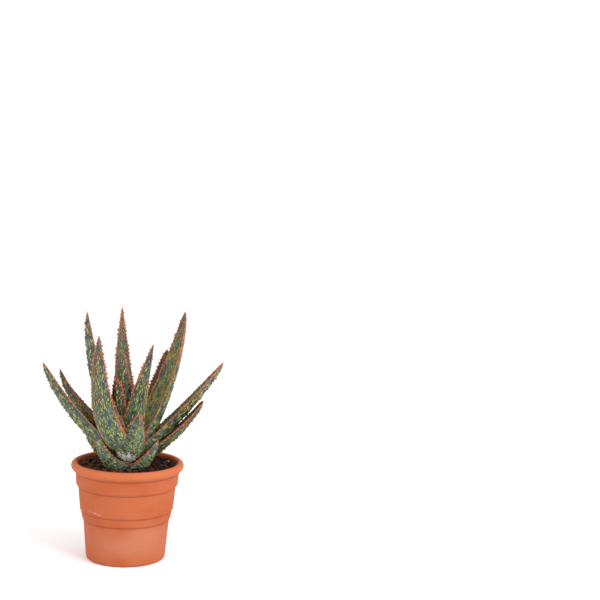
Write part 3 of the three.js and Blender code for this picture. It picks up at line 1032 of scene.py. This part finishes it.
@dataclass
class Rosette:
    """All leaves, from the inner ones to the outer ones."""

    leaves: tuple[LeafSize, ...] = (
        LeafSize("leaf_inner_young", 150, 23, 3, 42, 84, 2, 0, 13, 4, 0.8, Tone.YOUNG),
        LeafSize("leaf_centre_narrow", 243.9, 20, 4, 109.6, 80.4, -0.6, 1.9, 24.4, 6, 0.72),
        LeafSize("leaf_centre_tall", 116.5, 22, 4, 150, 75, 12.7, -12, 29, 7, 1.14),
        LeafSize("leaf_right_tall", 294, 15, 5, 130.2, 75.1, -7.8, 12.8, 28, 7, 1),
        LeafSize("leaf_centre_short", 233.7, 16, 4, 84.5, 65.2, 21, 11, 19.6, 5, 0.43, Tone.SHADED),
        LeafSize("leaf_right_inner", 45.3, 19, 4, 119, 46.7, 23.7, 16, 26.5, 7, 0.6, Tone.SHADED),
        LeafSize("leaf_left_inner", 207.3, 18, 4, 159, 60.7, 24, -3, 32, 8.8, 0.81),
        LeafSize("leaf_left_shaded", 158.7, 16, 4, 114.5, 34.3, 32, 36, 32, 8.5, 0.69, Tone.SHADED),
        LeafSize("leaf_right_largest", 24, 12, 4, 166.5, 56.8, 21.3, 14.7, 33.5, 10.8, 0.7, tanned=1.0),
        LeafSize("leaf_left_tall", 246.6, 20, 3, 176.5, 14.7, 80.7, 14.1, 31, 7.6, 0.81),
        LeafSize("leaf_back_right", 76, 15, 4, 100, 40, 20, 0, 26, 7.5, 0.75, fine=1.0),
        LeafSize("leaf_back_middle", 94, 13, 4, 112, 32, 26, 4, 28, 8, 0.8, fine=1.0),
        LeafSize("leaf_front_low", 276.5, 10.5, 13, 69.5, 50.7, 6.8, 16, 33.5, 8.4, 0.93,
                 fine=0.6, flare=0.1, wrap=16, husk=1.0, rows_to=1.2),
        LeafSize("leaf_right_long", 0, 10, 4, 141.5, 42, 10, 5, 25, 8.5, 0.52),
        LeafSize("leaf_left_long", 191, 9, 4, 140.5, 37.6, 23.8, 14.6, 23, 8.5, 0.52),
        LeafSize("leaf_back_left", 112, 8, 4, 116, 25, 32, 0, 28, 8, 0.8, fine=1.0),
        LeafSize("leaf_back_left_low", 140, 7, 4, 92, 21, 26, 6, 26, 7.5, 0.7, fine=1.0),
        LeafSize("leaf_back_right_low", 40, 5, 4, 74, 25, 24, -4, 25, 7.5, 0.65, fine=1.0),
        LeafSize("leaf_right_blunt", 350, 3, 4, 103, 30.6, 23.8, 14.5, 22.9, 6.8, 0.3, Tone.SHADED),
        LeafSize("leaf_front_left_low", 221, -2, 15, 50, 40, 40, -22, 25.5, 7.5, 0.76,
                 fine=0.6, flare=0.55, wrap=18, rows_to=1.4),
        LeafSize("leaf_front_right_low", 311, -2, 13.5, 45.5, 39, 26, 28, 19.5, 7, 0.82,
                 fine=0.6, flare=0.5, wrap=17, rows_to=1.1),
        LeafSize("leaf_left_blunt", 182.5, 0.4, 5, 56.5, 24, 36.5, -17, 20, 6.3, 0.33),
        LeafSize("leaf_back_low", 66, -1, 6, 72, 22, 34, 6, 27, 7, 0.75, fine=1.0),
        LeafSize("leaf_back_small", 122, -1, 6, 58, 24, 36, 6, 27, 7, 0.75, fine=1.0),
    )

    def build(self) -> None:
        """Makes and dresses every leaf."""
        skins = {tone: skin.material("leaf_" + tone.value) for tone, skin in LEAF_SKINS.items()}
        for number, size in enumerate(self.leaves, start=1):
            piece = Leaf(size, number).build()
            piece.data.materials.append(skins[size.tone])
            settle(piece, size.name)


@dataclass(frozen=True)
class Clay:
    """Unglazed clay with chalky patches, fine grit and a few scratches, and painted shade in dark lines under
    its ledges and rim.
    """

    body: Colour = tint(177, 92, 54)
    warm: Colour = tint(170, 82, 43)
    pale: Colour = tint(180, 112, 84)
    chalk: Colour = tint(206, 166, 142)
    lip: Colour = tint(190, 103, 62)
    # Dark clay for specks and chips, and for the painted shade under the ledges and the rim.
    dark: Colour = tint(112, 48, 26)
    specular: float = 0.3
    clouds: Grain = Grain(28, 3, Rise(0.3, 0.62))
    turning_marks: tuple[float, float, float] = (14, 14, 260)
    turning_detail: float = 3
    turning_pale: Rise = Rise(0.55, 0.8, 0.18)
    chalk_share: float = 0.75
    lip_share: float = 0.7
    ledge_shade_share: float = 0.6
    chip_share: float = 0.8
    streak_grain: Grain = Grain(420, 2, Rise(0.42, 0.62))
    dark_scale: float = 330
    dark_edge: Rise = Rise(0.06, 0.1)
    dark_clouds: Grain = Grain(90, 1, Rise(0.5, 0.7, 0.5))
    pale_scale: float = 210
    pale_edge: Rise = Rise(0.05, 0.09)
    pale_share: float = 0.35
    grit_scale: float = 2600
    grit_detail: float = 2
    bumps_scale: float = 500

    # Roughness, and the weights of grit and chalk in it.
    roughness: float = 0.74
    rough_weights: Span = (0.14, 0.06)

    # Depth of the relief, and the weights of grit, turning marks and bumps in it.
    relief_depth: float = 0.12
    relief_weights: tuple[float, float, float] = (0.45, 0.35, 0.4)

    def material(self) -> bpy.types.Material:
        """The pot's material.

        Returns:
            The material.
        """
        desk = Desk("clay", self.specular)
        chalk = desk.mask("chalk")
        turning = desk.noise(1.0, self.turning_detail, desk.stretched(self.turning_marks))
        grit = desk.noise(self.grit_scale, self.grit_detail)
        colour = desk.blend(self.warm, self.body, desk.spots(self.clouds))
        paler = chalk * self.chalk_share + turning.rise(self.turning_pale)
        specks = desk.dots(self.dark_scale, self.dark_edge) * desk.spots(self.dark_clouds)
        layers = (
            (self.pale, paler),
            (self.lip, desk.mask("lip") * self.lip_share),
            # Painted shade under the ledges and the rim.
            (self.dark, desk.mask("ledge_shade") * self.ledge_shade_share),
            (self.chalk, desk.mask("streak") * desk.spots(self.streak_grain)),
            (self.dark, specks),
            (self.chalk, desk.dots(self.pale_scale, self.pale_edge) * self.pale_share),
            (self.dark, desk.mask("chip") * self.chip_share),
        )
        for second, share in layers:
            colour = desk.blend(colour, second, share)
        rough = self.roughness + grit * self.rough_weights[0] + chalk * self.rough_weights[1]
        bumps = desk.noise(self.bumps_scale, self.grit_detail)
        relief = sum(part * weight for part, weight in zip((grit, turning, bumps), self.relief_weights))
        return desk.finish(colour, rough, relief, self.relief_depth)


@dataclass(frozen=True)
class Mark:
    """A soft mark on the pot: its strength, its angle and height, and its width each way."""

    strength: float
    angle: float
    wide: float
    height: float
    tall: float

    def at(self, angle: Array, height: Array) -> Array:
        """How strong it is at each point."""
        away = ((angle - self.angle) / self.wide) ** 2 + ((height - self.height) / self.tall) ** 2
        return self.strength * np.exp(-away)


@dataclass(frozen=True)
class Scratch:
    """A pale slanted scratch: a point on it, its slope in millimetres a degree, its width and its ends."""

    angle: float = -132
    height: float = 57.6
    slope: float = 0.085
    wide: float = 0.55
    begins: Span = (-146, -142)
    ends: Span = (-124, -119)

    def at(self, angle: Array, height: Array) -> Array:
        """How strong it is at each point."""
        line = bell(height + (angle - self.angle) * self.slope, self.height, self.wide)
        return line * smooth(angle, *self.begins) * (1 - smooth(angle, *self.ends))


@dataclass
class Pot:
    """A turned clay pot with stepped bands and a rolled rim; radii and heights from the foot up."""

    foot: tuple[Span, ...] = ((8, 0), (39.6, 0), (41.4, 0.5), (42.4, 1.6), (42.6, 3))
    wall: tuple[Span, ...] = (
        (46.2, 42.8), (47.8, 45.2), (48.9, 52.4), (50.1, 54.3), (51.5, 70), (52.3, 78.4), (54.6, 81.4),
        (55.4, 94.1))
    rim: tuple[Span, ...] = (
        (58.2, 96.7), (60, 98.9), (60.5, 101.3), (59.8, 103.7), (58, 105.2), (55.9, 105.6), (54.2, 104.9),
        (53.2, 103.2))
    inside: tuple[Span, ...] = ((52.2, 97), (36.5, 8), (8, 8))

    # Places round the pot, spacing where it shows and where it doesn't, and softening of the edges.
    segments: int = 160
    spacing: float = 0.65
    hidden_spacing: float = 5.0
    edge_softness: float = 0.45
    trace_step: float = 0.2
    soften_steps: int = 15
    seen_radius: float = 38.5
    seen_height: float = 95

    # Unevenness by hand: it leaves out the foot's underside and the inside.
    wobble: Hills = Hills(0.12, 9.0, 2.0)
    wobble_round: float = 20
    wobble_lean: float = 0.2
    wobble_from: Span = (0.5, 6)
    underside_radius: float = 38
    inner_radius: float = 50.2
    inner_height: float = 60

    # Marks that the finish reads.
    chalk: tuple[Mark, ...] = (
        Mark(1, -62, 24, 31, 12), Mark(0.7, -95, 26, 22, 9), Mark(0.6, 120, 40, 28, 13))
    chalk_below: float = 0.35
    chalk_fades: Span = (38, 44)
    chalk_starts: Span = (2, 14)
    scratch: Scratch = Scratch()
    chips: tuple[Mark, ...] = (Mark(1, -93, 1.2, 7.7, 0.7), Mark(0.7, -112, 1.0, 99.7, 0.6))
    # Painted shade: dark lines under the ledges and the rim, at these heights.
    ledge_shades: tuple[float, ...] = (43.2, 53.0, 78.9, 94.6)
    ledge_shade_width: float = 0.6
    ledge_shade_radius: float = 44
    lip_height: Span = (95.5, 98.5)
    lip_radius: Span = (53.5, 55.5)

    def profile(self) -> Array:
        """The outline, evenly spaced where it shows and softened at its edges.

        Returns:
            Rows of radius and height, closed on itself.
        """
        corners = np.array([*self.foot, *self.wall, *self.rim, *self.inside, self.foot[0]])
        reach = np.concatenate([[0], np.cumsum(np.hypot(*np.diff(corners, axis=0).T))])
        fine = np.arange(0, reach[-1], self.trace_step)
        line = np.stack([np.interp(fine, reach, corners[:, k]) for k in range(2)], axis=1)
        ends = self.soften_steps
        offsets = np.arange(-ends, ends + 1) * self.trace_step
        kernel = np.exp(-0.5 * (offsets / (self.edge_softness / 2)) ** 2)
        kernel = kernel / kernel.sum()
        padded = np.vstack([line[-ends:], line, line[:ends]])
        soft = np.stack([np.convolve(padded[:, k], kernel, mode="valid") for k in range(2)], axis=1)
        outside = fine < reach[len(self.foot) + len(self.wall)]
        shows = (soft[:, 0] > self.seen_radius) & ((soft[:, 1] > self.seen_height) | outside)
        kept, last = [], -self.hidden_spacing
        for index, place in enumerate(fine):
            if place - last >= (self.spacing if shows[index] else self.hidden_spacing):
                kept.append(index)
                last = place
        return soft[kept]

    def masks(self, radius: Array, height: Array, angle: Array) -> dict[str, Array]:
        """Marks on the clay, and the painted shade lines under the ledges and the rim.

        Args:
            radius: Radius of each point.
            height: Its height.
            angle: Its angle in radians.

        Returns:
            The masks by name.
        """
        front = np.degrees(angle)
        front = np.where(front > 180, front - 360, front)
        below = (1 - smooth(height, *self.chalk_fades)) * smooth(height, *self.chalk_starts)
        chalk = sum(mark.at(front, height) for mark in self.chalk) + self.chalk_below * below
        chips = sum(mark.at(front, height) for mark in self.chips)
        ledge_shades = sum(bell(height, level, self.ledge_shade_width) for level in self.ledge_shades)
        return {
            "chalk": np.clip(chalk, 0, 1),
            "streak": self.scratch.at(front, height),
            "chip": np.clip(chips, 0, 1),
            "ledge_shade": np.clip(ledge_shades * (radius > self.ledge_shade_radius), 0, 1),
            "lip": smooth(height, *self.lip_height) * smooth(radius, *self.lip_radius),
        }

    def build(self) -> None:
        """Turns the pot, with slight unevenness and worn spots, and dresses it."""
        line = self.profile()
        radius, height, angle = turned(line[:, 0], line[:, 1], self.segments)
        inner = (radius < self.inner_radius) & (height > self.inner_height)
        outside = (radius > self.underside_radius) & ~inner
        cos, sin = np.cos(angle), np.sin(angle)
        around = self.wobble.at(self.wobble_round * cos + height * self.wobble_lean, self.wobble_round * sin)
        uneven = radius + around * outside * smooth(height, *self.wobble_from)
        points = on_axis(uneven * cos, uneven * sin, height)
        faces = flipped(ring_faces(len(line), self.segments, looped=True))
        piece = make_piece("pot_clay", points, faces, self.masks(radius, height, angle))
        piece.data.materials.append(Clay().material())
        settle(piece, "pot")


@dataclass(frozen=True)
class Peat:
    """Dark crumbly soil with reddish fibres."""

    dark: Colour = tint(20, 10, 8)
    brown: Colour = tint(84, 50, 38)
    red: Colour = tint(104, 50, 34)
    pale: Colour = tint(176, 150, 122)
    specular: float = 0.2
    roughness: float = 0.95
    grain_scale: float = 600
    grain_detail: float = 4
    grain_rough: float = 0.7
    light_weights: Span = (0.7, 0.5)
    light: Rise = Rise(0.45, 0.8)
    fibres: Grain = Grain(180, 2, Rise(0.5, 0.66))
    fibre_grain: Rise = Rise(0.45, 0.6, 0.8)
    crumb_share: float = 0.85
    dot_scale: float = 420
    dot_edge: Rise = Rise(0.07, 0.12)
    dot_share: float = 0.4
    fine_scale: float = 2200
    fine_detail: float = 2
    fine_weight: float = 0.5
    relief_depth: float = 0.5

    def material(self) -> bpy.types.Material:
        """The soil's material.

        Returns:
            The material.
        """
        desk = Desk("peat", self.specular)
        grain = desk.noise(self.grain_scale, self.grain_detail, rough=self.grain_rough)
        by_grain, by_height = self.light_weights
        light = (grain * by_grain + desk.mask("lit") * by_height).rise(self.light)
        colour = desk.blend(self.dark, self.brown, light)
        colour = desk.blend(colour, self.red, desk.spots(self.fibres) * grain.rise(self.fibre_grain))
        colour = desk.blend(colour, self.pale, desk.mask("pale") * self.crumb_share)
        colour = desk.blend(colour, self.pale, desk.dots(self.dot_scale, self.dot_edge) * self.dot_share)
        relief = grain + desk.noise(self.fine_scale, self.fine_detail) * self.fine_weight
        return desk.finish(colour, self.roughness, relief, self.relief_depth)


@dataclass
class Soil:
    """Peat that fills the pot, with a lumpy top and loose crumbs."""

    rim_radius: float = 52.6
    middle_radius: float = 0.3
    rings: int = 70
    segments: int = 170
    skirt: tuple[Span, ...] = ((52.2, 95), (36.6, 8.6), (0.3, 8.6))

    # Top: lumps, finer lumps, and a low mound round the stem.
    lump: float = 1.8
    lumps: tuple[Hills, ...] = (Hills(0.45, 7.5, 5.0), Hills(0.55, 3.8, 6.0))
    fine_lumps: Hills = Hills(0.5, 1.4, 7.0)
    sunk: float = 0.3
    mound_height: float = 1.2
    mound_radius: float = 14
    mound_width: float = 7

    # Light: how it grows with height, and how much it falls from left to right.
    lit_share: float = 1.2
    lit_base: float = 0.25
    lit_falls: float = 0.8
    lit_across: Span = (-30, 25)

    # Crumbs: how many, where, how large, how deep they lie, and the share and light of the pale ones.
    crumbs: int = 760
    crumb_radius: float = 51.2
    crumb_middle: float = 0.05
    crumb_size: Span = (0.45, 2.2)
    crumb_power: int = 4
    crumb_inset: float = 0.5
    crumb_raised: float = 0.25
    crumb_pale: float = 0.03
    crumb_lit: float = 0.9
    crumb_seed: float = 11.0
    crumb_draws: int = 5

    def height(self, x: Array, y: Array) -> Array:
        """Height of the soil's top over its level."""
        coarse = sum(hills.at(x, y) for hills in self.lumps)
        return self.lump * coarse + self.fine_lumps.at(x, y) - self.sunk

    def build(self) -> None:
        """Makes the soil and its crumbs as one piece, and dresses it."""
        ring = np.linspace(self.middle_radius, self.rim_radius, self.rings)
        r, level, angle = turned(ring, np.full(self.rings, SOIL_LEVEL), self.segments)
        x, y = r * np.cos(angle), r * np.sin(angle)
        z = level + self.height(x, y) + self.mound_height * bell(r, self.mound_radius, self.mound_width)
        out, low, round_skirt = turned(*np.array(self.skirt).T, self.segments)
        x = np.append(x, out * np.cos(round_skirt))
        y = np.append(y, out * np.sin(round_skirt))
        faces = flipped(ring_faces(self.rings + len(self.skirt), self.segments))
        points = on_axis(x, y, np.append(z, low))
        top = smooth(self.height(x, y), -self.lump, self.lump)
        points, faces, masks = self.add_crumbs(points, faces, top)
        falls = self.lit_falls * smooth(points[:, 0], *self.lit_across)
        masks["lit"] = masks["lit"] * self.lit_share + self.lit_base - falls
        piece = make_piece("soil_peat", points, faces, masks)
        piece.data.materials.append(Peat().material())
        settle(piece, "soil")

    def add_crumbs(
        self, points: Array, faces: list[list[int]], top: Array
    ) -> tuple[Array, list[list[int]], dict[str, Array]]:
        """Strews loose crumbs over the top.

        Args:
            points: Points so far.
            faces: Faces so far.
            top: How high each point lies among the lumps, 0 to 1.

        Returns:
            The points and faces with the crumbs added, and the masks of all points.
        """
        ball = Ball()
        parts, pale, lit = [points], [np.zeros(len(points))], [top]
        total = len(points)
        least, spread = self.crumb_size
        for k in range(self.crumbs):
            draw = [float(chance(k, seed=self.crumb_seed + n)) for n in range(self.crumb_draws)]
            r = self.crumb_radius * math.sqrt(self.crumb_middle + (1 - self.crumb_middle) * draw[0])
            angle = draw[1] * 2 * math.pi
            size = least + spread * draw[2] ** self.crumb_power
            x, y = ((r - size * self.crumb_inset) * turn for turn in (math.cos(angle), math.sin(angle)))
            z = SOIL_LEVEL + float(self.height(np.array(x), np.array(y))) + size * self.crumb_raised
            crumb = ball.crumb(size, k) + [x + POT_AXIS[0], y + POT_AXIS[1], z]
            parts.append(crumb)
            pale.append(np.full(len(crumb), float(draw[3] < self.crumb_pale)))
            lit.append(np.full(len(crumb), self.crumb_lit * draw[4]))
            faces.extend((ball.faces + total).tolist())
            total += len(crumb)
        return np.vstack(parts), faces, {"pale": np.concatenate(pale), "lit": np.concatenate(lit)}


class Ball:
    """A ball of 80 faces that crumbs are made from.

    Of two numbers for the form of a crumb, the first is the least and the second is added by chance.
    """

    rough: Span = (0.75, 0.5)
    stretch: Span = (0.6, 0.8)
    rough_seed: float = 1.7
    stretch_seed: float = 2.3
    turn_seed: float = 5.0

    def __init__(self) -> None:
        """Splits each face of an icosahedron in four."""
        g = (1 + 5 ** 0.5) / 2
        points = [Vector(p).normalized() for p in (
            (-1, g, 0), (1, g, 0), (-1, -g, 0), (1, -g, 0), (0, -1, g), (0, 1, g),
            (0, -1, -g), (0, 1, -g), (g, 0, -1), (g, 0, 1), (-g, 0, -1), (-g, 0, 1))]
        faces = [
            (0, 11, 5), (0, 5, 1), (0, 1, 7), (0, 7, 10), (0, 10, 11), (1, 5, 9), (5, 11, 4), (11, 10, 2),
            (10, 7, 6), (7, 1, 8), (3, 9, 4), (3, 4, 2), (3, 2, 6), (3, 6, 8), (3, 8, 9), (4, 9, 5),
            (2, 4, 11), (6, 2, 10), (8, 6, 7), (9, 8, 1)]
        halves: dict[tuple[int, int], int] = {}

        def half(a: int, b: int) -> int:
            """The point halfway between two points."""
            key = (min(a, b), max(a, b))
            if key not in halves:
                points.append(((points[a] + points[b]) / 2).normalized())
                halves[key] = len(points) - 1
            return halves[key]

        split = []
        for a, b, c in faces:
            ab, bc, ca = half(a, b), half(b, c), half(c, a)
            split += [(a, ab, ca), (b, bc, ab), (c, ca, bc), (ab, bc, ca)]
        self.points = np.array([tuple(p) for p in points])
        self.faces = np.array(split)

    def crumb(self, size: float, number: int) -> Array:
        """An uneven lump.

        Args:
            size: Its radius.
            number: Chooses its form.

        Returns:
            Its points round the origin.
        """
        p = self.points
        rough = self.rough[0] + self.rough[1] * chance(np.arange(len(p)), seed=number * self.rough_seed)
        stretch = self.stretch[0] + self.stretch[1] * chance(np.arange(3), seed=number * self.stretch_seed)
        angle = float(chance(number, seed=self.turn_seed)) * 2 * math.pi
        cos, sin = math.cos(angle), math.sin(angle)
        turn = np.array([[cos, -sin, 0], [sin, cos, 0], [0, 0, 1]])
        return (p * rough[:, None] * stretch * size) @ turn.T


@dataclass(frozen=True)
class Bark:
    """Dry brownish green skin of the stem."""

    dark: Colour = tint(92, 88, 52)
    pale: Colour = tint(138, 124, 84)
    specular: float = 0.3
    roughness: float = 0.8
    grain_scale: float = 500
    grain_detail: float = 3
    grain: Rise = Rise(0.35, 0.65)
    relief_depth: float = 0.3

    def material(self) -> bpy.types.Material:
        """The stem's material.

        Returns:
            The material.
        """
        desk = Desk("stem", self.specular)
        grain = desk.noise(self.grain_scale, self.grain_detail)
        colour = desk.blend(self.dark, self.pale, grain.rise(self.grain))
        return desk.finish(colour, self.roughness, grain, self.relief_depth)


@dataclass
class Stem:
    """The short stem under the leaves, with the scars of old ones."""

    profile: tuple[Span, ...] = ((0.2, -16), (12, -16), (12, 0), (10, 24), (6, 26), (0.2, 26))
    segments: int = 64
    rows: int = 60
    scar_depth: float = 0.25
    scar_pitch: float = 2.1
    scar_sway: float = 1.2
    scar_sides: int = 3
    scar_radius: float = 5
    inset: float = 0.3
    least_radius: float = 0.1

    def build(self) -> None:
        """Turns the stem, rings it with scars and dresses it."""
        corners = np.array(self.profile)
        reach = np.concatenate([[0], np.cumsum(np.hypot(*np.diff(corners, axis=0).T))])
        place = np.linspace(0, reach[-1], self.rows)
        outline = (np.interp(place, reach, corners[:, k]) for k in range(2))
        radius, height, angle = turned(*outline, self.segments)
        sway = self.scar_sway * np.sin(angle * self.scar_sides)
        scar = np.sin(height * self.scar_pitch + sway) * self.scar_depth * (radius > self.scar_radius)
        radius = (radius + (scar - self.inset)).clip(self.least_radius)
        points = on_axis(radius * np.cos(angle), radius * np.sin(angle), height + SOIL_LEVEL)
        faces = flipped(ring_faces(self.rows, self.segments))
        piece = make_piece("stem_bark", points, faces, {})
        piece.data.materials.append(Bark().material())
        settle(piece, "stem")


@dataclass(frozen=True)
class FloorPaint:
    """Even matt paint, nearly white."""

    light: Colour = tint(250, 250, 250)
    shade: Colour = tint(246, 246, 246)
    specular: float = 0.1
    roughness: float = 0.9
    grain_scale: float = 3.0
    grain_detail: float = 2
    relief_depth: float = 0.01

    def material(self) -> bpy.types.Material:
        """The floor's material.

        Returns:
            The material.
        """
        desk = Desk("floor", self.specular)
        grain = desk.noise(self.grain_scale, self.grain_detail)
        colour = desk.blend(self.light, self.shade, grain)
        return desk.finish(colour, self.roughness, grain, self.relief_depth)


@dataclass(frozen=True)
class Lamp:
    """A square soft lamp: its place in millimetres, its width in metres and its power in watts."""

    name: str
    place: tuple[float, float, float]
    size: float
    power: float

    def build(self, target: tuple[float, float, float]) -> None:
        """Hangs the lamp and turns it to a target in millimetres."""
        data = bpy.data.lights.new(self.name, "AREA")
        data.size = self.size
        data.energy = self.power
        lamp = bpy.data.objects.new(self.name, data)
        lamp.location = Vector(self.place) * MM
        aim = Vector(target) * MM - lamp.location
        lamp.rotation_mode = "QUATERNION"
        lamp.rotation_quaternion = aim.to_track_quat("-Z", "Y")
        bpy.context.scene.collection.objects.link(lamp)


@dataclass
class Studio:
    """The floor, the sky, the lamps and the camera, which stands where the photograph was taken."""

    eye: tuple[float, float, float] = (-5.0, -1344.693, 419.374)
    right: tuple[float, float, float] = (0.990909, -0.128819, 0.038802)
    up: tuple[float, float, float] = (-0.025625, 0.102417, 0.994411)
    back: tuple[float, float, float] = (-0.132073, -0.986365, 0.098185)
    lens: float = 75.6
    sensor: float = 36.0
    floor_size: float = 30.0
    sky: float = 1.07
    lamps: tuple[Lamp, ...] = (
        Lamp("key", (900, -900, 1100), 0.9, 16.0), Lamp("fill", (-1100, -700, 700), 1.2, 4.0))
    target: tuple[float, float, float] = (0, 0, 130)

    def build(self) -> None:
        """Makes everything that isn't part of the object."""
        self.floor()
        self.lights()
        self.camera()

    def floor(self) -> None:
        """A plain pale floor, its size in metres."""
        half = self.floor_size / 2 / MM
        points = np.array([(-half, -half, 0), (half, -half, 0), (half, half, 0), (-half, half, 0)])
        floor = make_piece("floor", points, [[0, 1, 2, 3]], {})
        floor.data.materials.append(FloorPaint().material())

    def lights(self) -> None:
        """An even white sky and the lamps."""
        world = bpy.data.worlds.new("sky")
        world.use_nodes = True
        background = world.node_tree.nodes["Background"]
        background.inputs["Color"].default_value = (1, 1, 1, 1)
        background.inputs["Strength"].default_value = self.sky
        bpy.context.scene.world = world
        for lamp in self.lamps:
            lamp.build(self.target)

    def camera(self) -> None:
        """The camera, from its place and the directions to its right, up and back."""
        data = bpy.data.cameras.new("camera")
        data.lens = self.lens
        data.sensor_width = self.sensor
        camera = bpy.data.objects.new("camera", data)
        place = Vector(self.eye) * MM
        axes = (self.right, self.up, self.back)
        rows = [[*(axis[k] for axis in axes), place[k]] for k in range(3)]
        camera.matrix_world = Matrix((*rows, (0, 0, 0, 1)))
        bpy.context.scene.collection.objects.link(camera)
        bpy.context.scene.camera = camera


def main() -> None:
    """Builds the pot, the soil, the stem, the leaves and the studio in order."""
    logging.basicConfig(level=logging.INFO, format="%(name)s %(message)s")
    bpy.context.scene.view_settings.view_transform = "Standard"
    Pot().build()
    Soil().build()
    Stem().build()
    Rosette().build()
    Studio().build()


if __name__ == "__main__":
    main()
